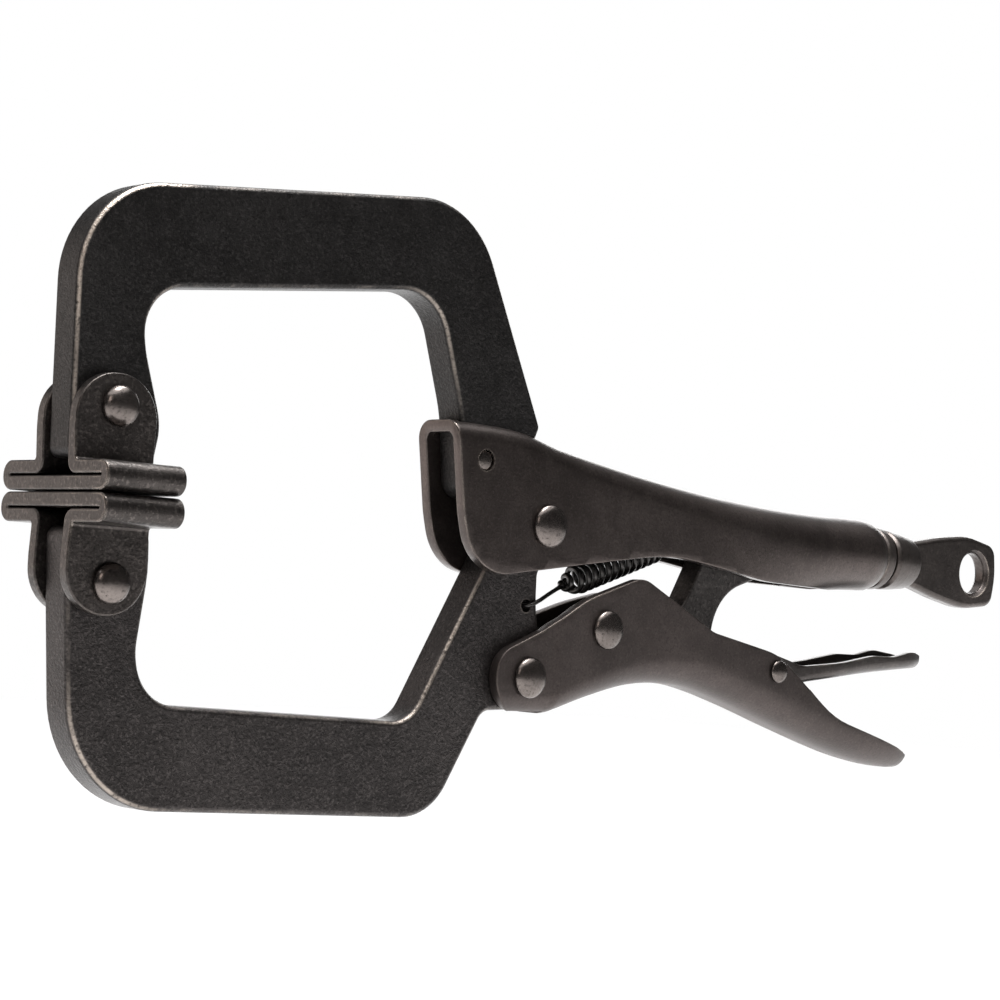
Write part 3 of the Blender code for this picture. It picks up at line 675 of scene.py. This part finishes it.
def channel_mesh(name, stations, half_width, sheet, up):
    """A folded channel: its section runs through the stations on a smooth curve, between flat ends."""
    mesh = bpy.data.meshes.new(name)
    work = bmesh.new()
    first, last = stations[0][0], stations[-1][0]
    places = sorted({s[0] for s in stations} | set(frange(first, last, RING_SPACING)))
    places = [x for i, x in enumerate(places) if i == 0 or x - places[i - 1] > CLOSEST_RINGS]
    loops = []
    for x in places:
        ring = channel_section(half_width, sheet, interpolate(stations, x), up)
        loops.append([work.verts.new((x, y, z)) for y, z in ring])
    count = len(loops[0])
    for here, there in zip(loops, loops[1:]):
        for i in range(count):
            j = (i + 1) % count
            work.faces.new((here[i], here[j], there[j], there[i]))
    half = count // 2
    for ring in (loops[0], loops[-1]):
        work.faces.new((ring[0], ring[half - 1], ring[half], ring[count - 1]))
        for i in range(half // 2 - 1):
            work.faces.new((ring[i], ring[i + 1], ring[half - 2 - i], ring[half - 1 - i]))
            near, far = count - 1 - i, half + i
            work.faces.new((ring[near], ring[near - 1], ring[far + 1], ring[far]))
    work.to_mesh(mesh)
    work.free()
    clean(mesh)
    return mesh


def lathe_mesh(name, profile, hollow=False, steps=TURNED_STEPS):
    """A round piece about its own z axis, from (height, radius) points."""
    mesh = bpy.data.meshes.new(name)
    work = bmesh.new()
    rings = []
    for height, radius in profile:
        if radius < 1e-6:
            rings.append([work.verts.new((0, 0, height))])
            continue
        turns = [2 * math.pi * i / steps for i in range(steps)]
        rings.append(
            [work.verts.new((radius * math.cos(a), radius * math.sin(a), height)) for a in turns]
        )
    pairs = list(zip(rings, rings[1:]))
    if hollow:
        pairs.append((rings[-1], rings[0]))
    for here, there in pairs:
        for i in range(steps):
            j = (i + 1) % steps
            corners = [ring[k % len(ring)] for ring, k in ((here, i), (here, j), (there, j), (there, i))]
            corners = list(dict.fromkeys(corners))  # a ring at a tip is one point
            if len(corners) > 2:
                work.faces.new(corners)
    bmesh.ops.recalc_face_normals(work, faces=work.faces)
    work.to_mesh(mesh)
    work.free()
    return mesh


def smooth_profile(corners):
    """A lathe profile's points from (height, radius, round) corners; both ends stay where they are."""
    points = [Vector(corners[0][:2])]
    for before, (h, r, rounding), after in zip(corners, corners[1:], corners[2:]):
        points += corner_arc(before[:2], (h, r), after[:2], rounding)
    return [(p.x, p.y) for p in [*points, Vector(corners[-1][:2])]]


# ---------------------------------------------------------------- materials


class Nodes:
    """Short ways to add shader nodes to one material."""

    def __init__(self, name):
        self.material = bpy.data.materials.new(name)
        self.material.use_nodes = True
        self.tree = self.material.node_tree
        self.shader = self.tree.nodes["Principled BSDF"]

    def put(self, kind, settings=None, **inputs):
        node = self.tree.nodes.new(kind)
        for key, value in (settings or {}).items():
            setattr(node, key, value)
        for key, value in inputs.items():
            self.feed(node.inputs[key.replace("_", " ")], value)
        return node

    def feed(self, socket, value):
        if isinstance(value, bpy.types.NodeSocket):
            self.tree.links.new(value, socket)
        else:
            socket.default_value = value

    def math(self, operation, a, b=0.0, clamp=False):
        node = self.put("ShaderNodeMath", {"operation": operation, "use_clamp": clamp})
        self.feed(node.inputs[0], a)
        self.feed(node.inputs[1], b)
        return node.outputs[0]

    def remap(self, value, low, high, to_low=0.0, to_high=1.0):
        node = self.put("ShaderNodeMapRange", {"interpolation_type": "SMOOTHSTEP"})
        for key, number in (
            ("Value", value), ("From Min", low), ("From Max", high),
            ("To Min", to_low), ("To Max", to_high),
        ):
            self.feed(node.inputs[key], number)
        return node.outputs[0]

    def noise(self, where, scale, detail=3.0, roughness=0.6):
        node = self.put("ShaderNodeTexNoise", Scale=scale, Detail=detail, Roughness=roughness)
        self.feed(node.inputs["Vector"], where)
        return node.outputs["Fac"]

    def mix(self, factor, a, b):
        node = self.put("ShaderNodeMix", {"data_type": "RGBA"})
        self.feed(node.inputs["Factor"], factor)
        self.feed(node.inputs[6], a)
        self.feed(node.inputs[7], b)
        return node.outputs[2]


# Pale bare steel where the oxide is rubbed off; on the arms' rounded edges the same colour also paints a
# highlight.
PALE_WEAR_AND_SHEEN = (0.40, 0.345, 0.30, 1)  # bare steel, slightly bronze


def steel(
    name, colour, roughness, grain=0.00005, grain_scale=1500, metallic=0.85,
    wear=0.35, edge_radius=0.0007, spots=(), mottle=0.25, fleck=0.30,
    grit=1.0, plate_edge_sheen_and_wear=False,
):
    """Black-oxide steel: fine grain, cloudy tone, pale rubbed edges, and brighter wear at some spots. On
    plates the pale band along the rounded edges is partly wear and partly a painted highlight.

    spots are (x, y, z, reach, gain): places of the outlines, in millimetres, where hands and work rub;
    the one near the upper arm's front top corner also paints a highlight there.
    """
    n = Nodes(name)
    where = n.put("ShaderNodeTexCoord").outputs["Object"]
    cloud = n.noise(where, 38, 4.0, 0.55)
    smear = n.noise(where, 210, 4.0, 0.65)
    fine = n.noise(where, grain_scale, 3.0, 0.7)
    pits = n.noise(where, grain_scale * 0.85, 2.0, 0.6)

    tone = n.math("ADD", n.math("MULTIPLY", cloud, 0.55), n.math("MULTIPLY", smear, 0.45))
    dark = tuple(c * (1 - mottle) for c in colour)
    light = tuple(c * (1 + mottle) for c in colour)
    base = n.mix(n.remap(tone, 0.34, 0.66), (*dark, 1), (*light, 1))
    base = n.mix(n.remap(fine, 0.28, 0.52), tuple(c * (1 - 0.65 * grit) for c in colour) + (1,), base)
    flecks = n.remap(pits, 0.52, 0.68)
    base = n.mix(n.math("MULTIPLY", flecks, fleck), base, tuple(min(1, c * 3.2) for c in colour) + (1,))

    bevel = n.put("ShaderNodeBevel", {"samples": 6}, Radius=edge_radius)
    geometry = n.put("ShaderNodeNewGeometry")
    agree = n.put("ShaderNodeVectorMath", {"operation": "DOT_PRODUCT"})
    n.feed(agree.inputs[0], bevel.outputs["Normal"])
    n.feed(agree.inputs[1], geometry.outputs["Normal"])
    edge = n.remap(agree.outputs["Value"], 0.995, 0.90)
    # On plates a band along the rounded edges is added: partly wear, partly a painted highlight on the
    # rounds.
    if plate_edge_sheen_and_wear:
        parts = n.put("ShaderNodeSeparateXYZ")
        n.feed(parts.inputs[0], geometry.outputs["Normal"])
        across = n.math("ABSOLUTE", parts.outputs["Y"])
        rising = n.remap(across, 0.35, 0.72)
        falling = n.remap(across, 0.985, 0.86)
        edge = n.math("MAXIMUM", edge, n.math("MULTIPLY", rising, falling))
    patchy = n.remap(n.noise(where, 130, 5.0, 0.7), 0.42, 0.62)
    chipped = n.remap(n.noise(where, 1100, 2.0, 0.6), 0.22, 0.52)
    gain = n.math("MULTIPLY", patchy, wear)
    for x, y, z, reach, extra in spots:
        gap = n.put("ShaderNodeVectorMath", {"operation": "DISTANCE"})
        n.feed(gap.inputs[0], where)
        n.feed(gap.inputs[1], place(x, y, z))
        near = n.remap(gap.outputs["Value"], reach * MM, 0.35 * reach * MM, 0.0, extra)
        gain = n.math("ADD", gain, near)
    # The pale mask: rubbed edges and spots, and on plates also the painted highlight along the rounded
    # edges.
    wear_and_sheen_mask = n.math("MULTIPLY", n.math("MULTIPLY", edge, gain), chipped, clamp=True)
    base = n.mix(wear_and_sheen_mask, base, PALE_WEAR_AND_SHEEN)

    rough = n.math("ADD", roughness - 0.10, n.math("MULTIPLY", tone, 0.20))
    rough = n.math("SUBTRACT", rough, n.math("MULTIPLY", wear_and_sheen_mask, 0.12))
    height = n.math("ADD", n.math("MULTIPLY", fine, 0.6), n.math("MULTIPLY", pits, 0.8))
    bump = n.put("ShaderNodeBump", Strength=1.0, Distance=grain, Height=height)

    n.feed(n.shader.inputs["Base Color"], base)
    n.feed(n.shader.inputs["Roughness"], rough)
    n.feed(n.shader.inputs["Metallic"], metallic)
    n.feed(n.shader.inputs["Normal"], bump.outputs["Normal"])
    return n.material


# The upper arm's first spot, near its front top corner, is partly wear and partly a painted highlight of
# the light from above on that round.
upper_arm_steel = steel(
    "upper_arm_black_oxide", (0.020, 0.0185, 0.018), 0.42, grain=0.00016, grain_scale=1900, wear=0.16,
    plate_edge_sheen_and_wear=True, fleck=0.34,
    spots=((2, -4, 48, 24, 0.9), (2, -4, 20, 18, 0.4), (12, -4, 60, 16, 0.4), (96, -4, 45, 22, 0.35)),
)
# The lower arm is the same steel as the upper one; its lighter colour is a painted reflection of the
# floor below it.
lower_arm_reflection_painted_steel = steel(
    "lower_arm_black_oxide_painted_reflection", (0.034, 0.030, 0.029), 0.42, grain=0.00016, grain_scale=1900, wear=0.16,
    plate_edge_sheen_and_wear=True, fleck=0.34,
    spots=((90, -4, -34, 20, 0.55), (102, -4, -14, 18, 0.55), (8, -4, -52, 22, 0.5)),
)
handle_steel = steel(
    "handle_black_oxide", (0.058, 0.0475, 0.0440), 0.31, grain=0.00004, grain_scale=1900,
    wear=0.26, mottle=0.20, fleck=0.12, grit=0.5, spots=((95, -7, 12, 16, 0.5), (98, -7, -4, 14, 0.5)),
)
lower_handle_steel = steel(
    "lower_handle_black_oxide", (0.054, 0.0440, 0.0410), 0.50, grain=0.00004, grain_scale=1900,
    wear=0.30, mottle=0.20, fleck=0.09, grit=0.5, spots=((128, -7, -15, 20, 0.5),),
)
pad_steel = steel(
    "pad_black_oxide", (0.042, 0.0365, 0.034), 0.36, grain=0.00009, wear=0.34, fleck=0.40, grit=0.8,
    spots=((0, -7, 5, 7, 0.7), (0, -7, -5, 7, 0.7), (0, -17, 3, 6, 0.9), (0, -17, -3, 6, 0.9)),
)
link_steel = steel("link_black_oxide", (0.050, 0.045, 0.043), 0.42)
release_steel = steel(
    "release_black_oxide", (0.060, 0.053, 0.050), 0.36, grain=0.00002, fleck=0.1, grit=0.4
)
rivet_steel = steel(
    "rivet_black_oxide", (0.125, 0.108, 0.100), 0.25, grain=0.000016, metallic=0.95, wear=0.10, fleck=0.05
)
spring_steel = steel(
    "spring_black_oxide", (0.035, 0.033, 0.032), 0.28, grain=0.00001, metallic=0.85, wear=0.05
)
screw_steel = steel(
    "screw_black_oxide", (0.058, 0.0495, 0.046), 0.34, grain=0.00005, wear=0.70,
    fleck=0.12, grit=0.4, spots=((247, -2, 1, 9, 1.2), (276, -2, -2, 8, 1.1), (268, -2, -4, 7, 0.7)),
)

# ---------------------------------------------------------------- arms

for name, outline, bores, material, body, slot in (
    ("upper_arm", UPPER_ARM,
     [(UPPER_PAD_PIVOT, PAD_RIVET[2] + GAP), (TANG_RIVET, TANG_RIVET_RADIUS + GAP / 2)],
     upper_arm_steel, "frame", "arm_steel"),
    ("lower_arm", LOWER_ARM,
     [(LOWER_PAD_PIVOT, PAD_RIVET[2] + GAP), (JAW_PIVOT, PIVOT_RIVET[2] + GAP),
      (LEVER_PIVOT, LEVER_RIVET[2] + GAP), (SPRING_HOLE, SPRING_HOLE_RADIUS)],
     lower_arm_reflection_painted_steel, "lower_jaw", "arm_steel"),
):
    arm = add_object(
        f"{name}_forging", rounded_plate(name, outline, ARM_THICKNESS, ARM_EDGE_ROUND)
    )
    for centre, radius in bores:
        cut(arm, pin(centre, radius))
    finished(arm, material, body, slot, name)

# ---------------------------------------------------------------- handles

handle = add_object(
    "upper_handle_shell", channel_mesh("upper", UPPER_CHANNEL, HANDLE_HALF_WIDTH, SHEET, 1)
)
cut(handle, slab_mesh("trim", rounded(UPPER_TRIM), CUTTER_DEPTH), "INTERSECT")
cut(handle, block(*SPRING_TAB), "UNION")
cut(handle, slot_block(TANG_SLOT))
cut(handle, pin(JAW_PIVOT, PIVOT_RIVET[2] + GAP))
soften(handle, HANDLE_EDGE_ROUND)
cut(handle, pin(TANG_RIVET, TANG_RIVET_RADIUS + GAP / 2))
finished(handle, handle_steel, "frame", "handle_steel", "upper_handle", weigh=False)

lever = add_object(
    "lower_handle_shell", channel_mesh("lower", LOWER_CHANNEL, LEVER_HALF_WIDTH, SHEET, -1)
)
cut(lever, slab_mesh("trim", rounded(LOWER_TRIM), CUTTER_DEPTH), "INTERSECT")
cut(lever, slot_block(LOWER_SLOT))
cut(lever, slab_mesh("far", rounded(FAR_WALL_CUT), FAR_CUT_WIDTH, middle=FAR_CUT_WIDTH / 2))
for centre, radius in (
    (LEVER_PIVOT, LEVER_RIVET[2] + GAP), (LINK_PIVOT, LINK_RIVET[2] + GAP),
    (RELEASE_PIVOT, RELEASE_RIVET[2] + GAP),
):
    cut(lever, pin(centre, radius))
soften(lever, HANDLE_EDGE_ROUND)
finished(lever, lower_handle_steel, "lever", "handle_steel", "lower_handle", weigh=False)

release = add_object(
    "release_lever_shell",
    channel_mesh("release", RELEASE_CHANNEL, RELEASE_HALF_WIDTH, RELEASE_SHEET, -1),
)
cut(release, slab_mesh("trim", rounded(RELEASE_TRIM), CUTTER_DEPTH), "INTERSECT")
cut(release, pin(RELEASE_PIVOT, RELEASE_RIVET[2] + GAP))
soften(release, RELEASE_EDGE_ROUND)
finished(release, release_steel, "release", "release_steel", "release_lever", weigh=False)

link = add_object(
    "toggle_link_plate", rounded_plate("link", TOGGLE_LINK, LINK_THICKNESS, LINK_EDGE_ROUND)
)
cut(link, pin(LINK_PIVOT, LINK_RIVET[2] + GAP))
finished(link, link_steel, "link", "link_steel", "toggle_link")

# ---------------------------------------------------------------- adjusting screw

tip_along = (SCREW_TIP_X - SCREW_AXIS_POINT[0]) / math.cos(SCREW_DIP)
TO_SCREW = (
    Matrix.Translation((SCREW_AXIS_POINT[0], 0, SCREW_AXIS_POINT[1]))
    @ Matrix.Rotation(math.pi / 2 + SCREW_DIP, 4, "Y")
)


def thread_mesh(start, end):
    """The threaded rod about its own z axis, as one closed body."""
    mesh = bpy.data.meshes.new("thread")
    work = bmesh.new()
    rows = round((end - start) / THREAD_PITCH * THREAD_ROWS)
    rings = []
    for k in range(rows + 1):
        height = start + (end - start) * k / rows
        fade = min(1, (height - start) / THREAD_FADE, (end - height) / THREAD_FADE)
        ring = []
        for i in range(THREAD_STEPS):
            turn = 2 * math.pi * i / THREAD_STEPS
            phase = (height / THREAD_PITCH - i / THREAD_STEPS) % 1
            crest = 1 - abs(2 * phase - 1)
            radius = SCREW_RADIUS - THREAD_DEPTH * (1 - min(1, THREAD_CREST * crest) * fade)
            ring.append(work.verts.new((radius * math.cos(turn), radius * math.sin(turn), height)))
        rings.append(ring)
    for here, there in zip(rings, rings[1:]):
        for i in range(THREAD_STEPS):
            j = (i + 1) % THREAD_STEPS
            work.faces.new((here[i], here[j], there[j], there[i]))
    work.faces.new(rings[0][::-1])
    work.faces.new(rings[-1])
    bmesh.ops.recalc_face_normals(work, faces=work.faces)
    work.to_mesh(mesh)
    work.free()
    return mesh


rod = add_object("screw_thread", thread_mesh(tip_along, NECK_START + ROD_IN_COLLAR))
rod.data.transform(TO_SCREW)
finished(rod, screw_steel, "screw", "screw_steel", "adjusting_screw", smooth_angle=60)

collar = add_object("screw_collar", lathe_mesh("collar", smooth_profile(SCREW_COLLAR)))
collar.data.transform(TO_SCREW)
finished(collar, screw_steel, "screw", "screw_steel", "adjusting_screw")

upper_half = PADDLE[:-1]
lower_half = [(along, -out, radius) for along, out, radius in reversed(upper_half)]
paddle = add_object(
    "screw_paddle",
    rounded_plate(
        "paddle", upper_half + PADDLE[-1:] + lower_half, PADDLE_THICKNESS, PADDLE_EDGE_ROUND
    ),
)
half_paddle = PADDLE_THICKNESS / 2
hole_radius = PADDLE_HOLE[1]
hole_side = [
    (HOLE_CUTTER[0], 0, 0),
    (HOLE_CUTTER[0], hole_radius + HOLE_CUTTER[1], 0),
    (half_paddle, hole_radius + HOLE_ROUND, 0),
    (half_paddle - HOLE_ROUND, hole_radius, HOLE_CORNER),
]
hole_tool = smooth_profile([(-h, r, corner) for h, r, corner in hole_side] + hole_side[::-1])
hole_mesh = lathe_mesh("hole", hole_tool)
hole_mesh.transform(Matrix.Translation((PADDLE_HOLE[0], 0, 0)) @ Matrix.Rotation(math.pi / 2, 4, "X"))
cut(paddle, hole_mesh)
paddle.data.transform(
    Matrix.Translation((SCREW_AXIS_POINT[0], 0, SCREW_AXIS_POINT[1]))
    @ Matrix.Rotation(SCREW_DIP, 4, "Y")
)
finished(paddle, screw_steel, "screw", "screw_steel", "adjusting_screw")

nut = add_object("screw_nut_ring", lathe_mesh("nut", smooth_profile(SCREW_NUT), hollow=True))
nut.data.transform(TO_SCREW)
finished(nut, screw_steel, "frame", "screw_steel", "screw_nut")

# ---------------------------------------------------------------- rivets

TO_ACROSS = Matrix.Rotation(math.pi / 2, 4, "X")
for name, spot, sizes, half_grip, body in (
    ("jaw_pivot_rivet", JAW_PIVOT, PIVOT_RIVET, HANDLE_HALF_WIDTH, "frame"),
    ("lever_pivot_rivet", LEVER_PIVOT, LEVER_RIVET, HANDLE_HALF_WIDTH, "lower_jaw"),
    ("link_rivet", LINK_PIVOT, LINK_RIVET, LEVER_HALF_WIDTH, "lever"),
    ("release_rivet", RELEASE_PIVOT, RELEASE_RIVET, LEVER_HALF_WIDTH + RELEASE_BULGE, "lever"),
    ("upper_pad_rivet", UPPER_PAD_PIVOT, PAD_RIVET, EAR_OUTER, "frame"),
    ("lower_pad_rivet", LOWER_PAD_PIVOT, PAD_RIVET, EAR_OUTER, "lower_jaw"),
):
    head, height, shank = sizes
    side = []
    for i in range(DOME_STEPS + 1):
        a = math.pi / 2 * (1 - i / DOME_STEPS)
        side.append((half_grip + RIVET_RIM + (height - RIVET_RIM) * math.sin(a), head * math.cos(a)))
    side += [(half_grip + lift, head - inwards) for lift, inwards in RIVET_UNDERSIDE]
    side.append((side[-1][0], shank))
    profile = side + [(-h, r) for h, r in reversed(side)]
    rivet = add_object(f"{name}_head", lathe_mesh(name, profile))
    rivet.data.transform(Matrix.Translation((spot[0], 0, spot[1])) @ TO_ACROSS)
    finished(rivet, rivet_steel, body, "rivet_steel", name)

tang_end = HANDLE_HALF_WIDTH - TANG_SUNK
tang_side = []
for i in range(DOME_STEPS + 1):
    a = math.pi / 2 * (1 - i / DOME_STEPS)
    tang_side.append((tang_end - TANG_CROWN * (1 - math.sin(a)), TANG_RIVET_RADIUS * math.cos(a)))
tang = add_object(
    "tang_rivet_pin", lathe_mesh("tang", tang_side + [(-h, r) for h, r in reversed(tang_side)])
)
tang.data.transform(Matrix.Translation((TANG_RIVET[0], 0, TANG_RIVET[1])) @ TO_ACROSS)
finished(tang, rivet_steel, "frame", "rivet_steel", "tang_rivet")

# ---------------------------------------------------------------- swivel pads

pad_outline = rounded(PAD_SECTION + [(-y, z, r) for y, z, r in reversed(PAD_SECTION)])
for name, spot, up, body in (
    ("upper_pad", UPPER_PAD_PIVOT, 1, "pad_up"),
    ("lower_pad", LOWER_PAD_PIVOT, -1, "pad_down"),
):
    mesh = slab_mesh(name, pad_outline, PAD_LENGTH + PAD_TRIM_SPARE)
    mesh.transform(Matrix.Rotation(math.pi / 2, 4, "Z"))
    mesh.transform(Matrix.Translation((PAD_LENGTH / 2, 0, 0)))
    trim = slab_mesh("trim", rounded(PAD_TRIM), CUTTER_DEPTH)
    for part in (mesh, trim):
        part.transform(Matrix.Diagonal((1, 1, up, 1)))
        clean(part)
    pad = add_object(f"{name}_folded", mesh)
    cut(pad, trim, "INTERSECT")
    cut(pad, pin(spot, PAD_RIVET[2] + GAP))
    soften(pad, PAD_EDGE_ROUND)
    finished(pad, pad_steel, body, "pad_steel", name)

# ---------------------------------------------------------------- tension spring

start = Vector((SPRING_HOLE[0], 0, SPRING_HOLE[1]))
along = Vector((SPRING_ANCHOR[0], 0, SPRING_ANCHOR[1])) - start
reach = along.length
along.normalize()
across = Vector((-along.z, 0, along.x))
sideways = Vector((0, 1, 0))
hook_side = -(ARM_THICKNESS / 2 + SPRING_WIRE + HOOK_CLEARANCE)
path = [
    start + HOOK_DEPTH * sideways,
    start + (hook_side + HOOK_BEND_START) * sideways,
    start + HOOK_BEND * along + (hook_side + HOOK_BEND) * sideways,
]
path += [start + step * along + share * hook_side * sideways for step, share in LOWER_HOOK]
hook_points = len(path)
for i in range(SPRING_TURNS * POINTS_PER_TURN + 1):
    turn = 2 * math.pi * i / POINTS_PER_TURN
    opened = i / (OPENING_TURNS * POINTS_PER_TURN)
    taper = min(1, FIRST_TURN_SHARE + (1 - FIRST_TURN_SHARE) * opened)
    centre = start + (SPRING_START + SPRING_PITCH * i / POINTS_PER_TURN) * along
    radius = SPRING_RADIUS * taper
    path.append(centre + radius * (math.sin(turn) * across - math.cos(turn) * sideways))
eye = start + reach * along
path += [eye + step * along + up * across + out * sideways for step, up, out in UPPER_HOOK]
wire = bpy.data.curves.new("spring", "CURVE")
wire.dimensions = "3D"
wire.bevel_depth = SPRING_WIRE
wire.bevel_resolution = 3
wire.use_fill_caps = True
spline = wire.splines.new("POLY")
spline.points.add(len(path) - 1)
for point, spot in zip(spline.points, path):
    point.co = (*spot, 1)
for point in list(spline.points)[:hook_points]:
    point.radius = HOOK_WIRE_SHARE
coil = add_object("spring_wire", wire)
graph = bpy.context.evaluated_depsgraph_get()
coil_mesh = bpy.data.meshes.new_from_object(coil.evaluated_get(graph))
bpy.data.objects.remove(coil)
clean(coil_mesh)
spring = add_object("tension_spring_wire", coil_mesh)
spring.data.transform(Matrix.Translation(ORIGIN) @ Matrix.Diagonal((MM, MM, MM, 1)))
spring.data.materials.clear()
spring.data.materials.append(spring_steel)
spring.data.shade_smooth()
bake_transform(spring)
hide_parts("tension_spring")

# ---------------------------------------------------------------- studio

FLOOR_SIZE = 6.0
FLOOR_DROP = 0.11  # the clamp is shown held up, so that the opened jaw and handle clear the floor
floor_mesh = bpy.data.meshes.new("floor")
half_floor = FLOOR_SIZE / 2
floor_mesh.from_pydata(
    [(x, y, cad_low.z - FLOOR_DROP) for x, y in (
        (-half_floor, -half_floor), (half_floor, -half_floor),
        (half_floor, half_floor), (-half_floor, half_floor),
    )], [], [(0, 1, 2, 3)],
)
floor = add_object("floor", floor_mesh)
floor_paint = Nodes("floor_paint")
floor_paint.feed(floor_paint.shader.inputs["Base Color"], (0.93, 0.93, 0.93, 1))
floor_paint.feed(floor_paint.shader.inputs["Roughness"], 0.9)
floor_mesh.materials.append(floor_paint.material)

WORLD_ON_METAL = 0.06  # the world is dim for the clamp, and white where the camera sees it
WARM = (1.0, 0.90, 0.84)
world = bpy.data.worlds.new("studio")
world.use_nodes = True
bpy.context.scene.world = world
background = world.node_tree.nodes["Background"]
background.inputs["Color"].default_value = (1, 1, 1, 1)
background.inputs["Strength"].default_value = WORLD_ON_METAL
backdrop = world.node_tree.nodes.new("ShaderNodeBackground")
backdrop.inputs["Color"].default_value = (1, 1, 1, 1)
paths = world.node_tree.nodes.new("ShaderNodeLightPath")
either = world.node_tree.nodes.new("ShaderNodeMixShader")
world.node_tree.links.new(paths.outputs["Is Camera Ray"], either.inputs["Fac"])
world.node_tree.links.new(background.outputs[0], either.inputs[1])
world.node_tree.links.new(backdrop.outputs[0], either.inputs[2])
world.node_tree.links.new(either.outputs[0], world.node_tree.nodes["World Output"].inputs["Surface"])

sun_data = bpy.data.lights.new("sky_panel", "SUN")
sun_data.energy = 3.4
sun_data.angle = math.radians(85)
sun = bpy.data.objects.new("sky_panel", sun_data)
bpy.context.scene.collection.objects.link(sun)


def panel(name, where, target, size, power, colour=(1, 1, 1)):
    """A soft rectangular light that faces a point."""
    data = bpy.data.lights.new(name, "AREA")
    data.shape = "RECTANGLE"
    data.size, data.size_y = size
    data.energy = power
    data.color = colour
    light = bpy.data.objects.new(name, data)
    light.location = where
    light.visible_camera = False
    light.rotation_mode = "QUATERNION"
    light.rotation_quaternion = (Vector(target) - Vector(where)).to_track_quat("-Z", "Y")
    bpy.context.scene.collection.objects.link(light)


panel("overhead", (0.05, -0.05, 0.75), (0, 0, 0), (0.55, 0.30), 12)
panel("front_left", (-0.75, -0.55, 0.45), (0, 0, 0), (0.30, 0.35), 1.1, WARM)
panel("back_right", (0.75, 0.75, 0.30), (0, 0, 0), (0.9, 0.4), 4)
panel("back_left", (-0.6, 0.7, 0.15), (0, 0, 0), (0.5, 0.7), 2.3, WARM)

# The camera was worked out from the clamp's own parallel edges in the photograph.
camera_data = bpy.data.cameras.new("camera")
camera_data.lens = 93.6
camera_data.sensor_width = 36.0
camera_data.clip_start = 0.01
camera_data.clip_end = 20
camera = bpy.data.objects.new("camera", camera_data)
CAMERA_AT = Vector((-0.39945, -0.4123, -0.02404))
CAMERA_RIGHT = Vector((0.74094, -0.66896, 0.05912))
CAMERA_UP = Vector((-0.07697, 0.00286, 0.99703))
CAMERA_BACK = Vector((-0.66714, -0.74329, -0.04937))
turned_to = Matrix((CAMERA_RIGHT, CAMERA_UP, CAMERA_BACK)).transposed().to_4x4()
camera.matrix_world = Matrix.Translation(CAMERA_AT) @ turned_to
bpy.context.scene.collection.objects.link(camera)
bpy.context.scene.camera = camera
bpy.context.scene.view_settings.view_transform = "Standard"
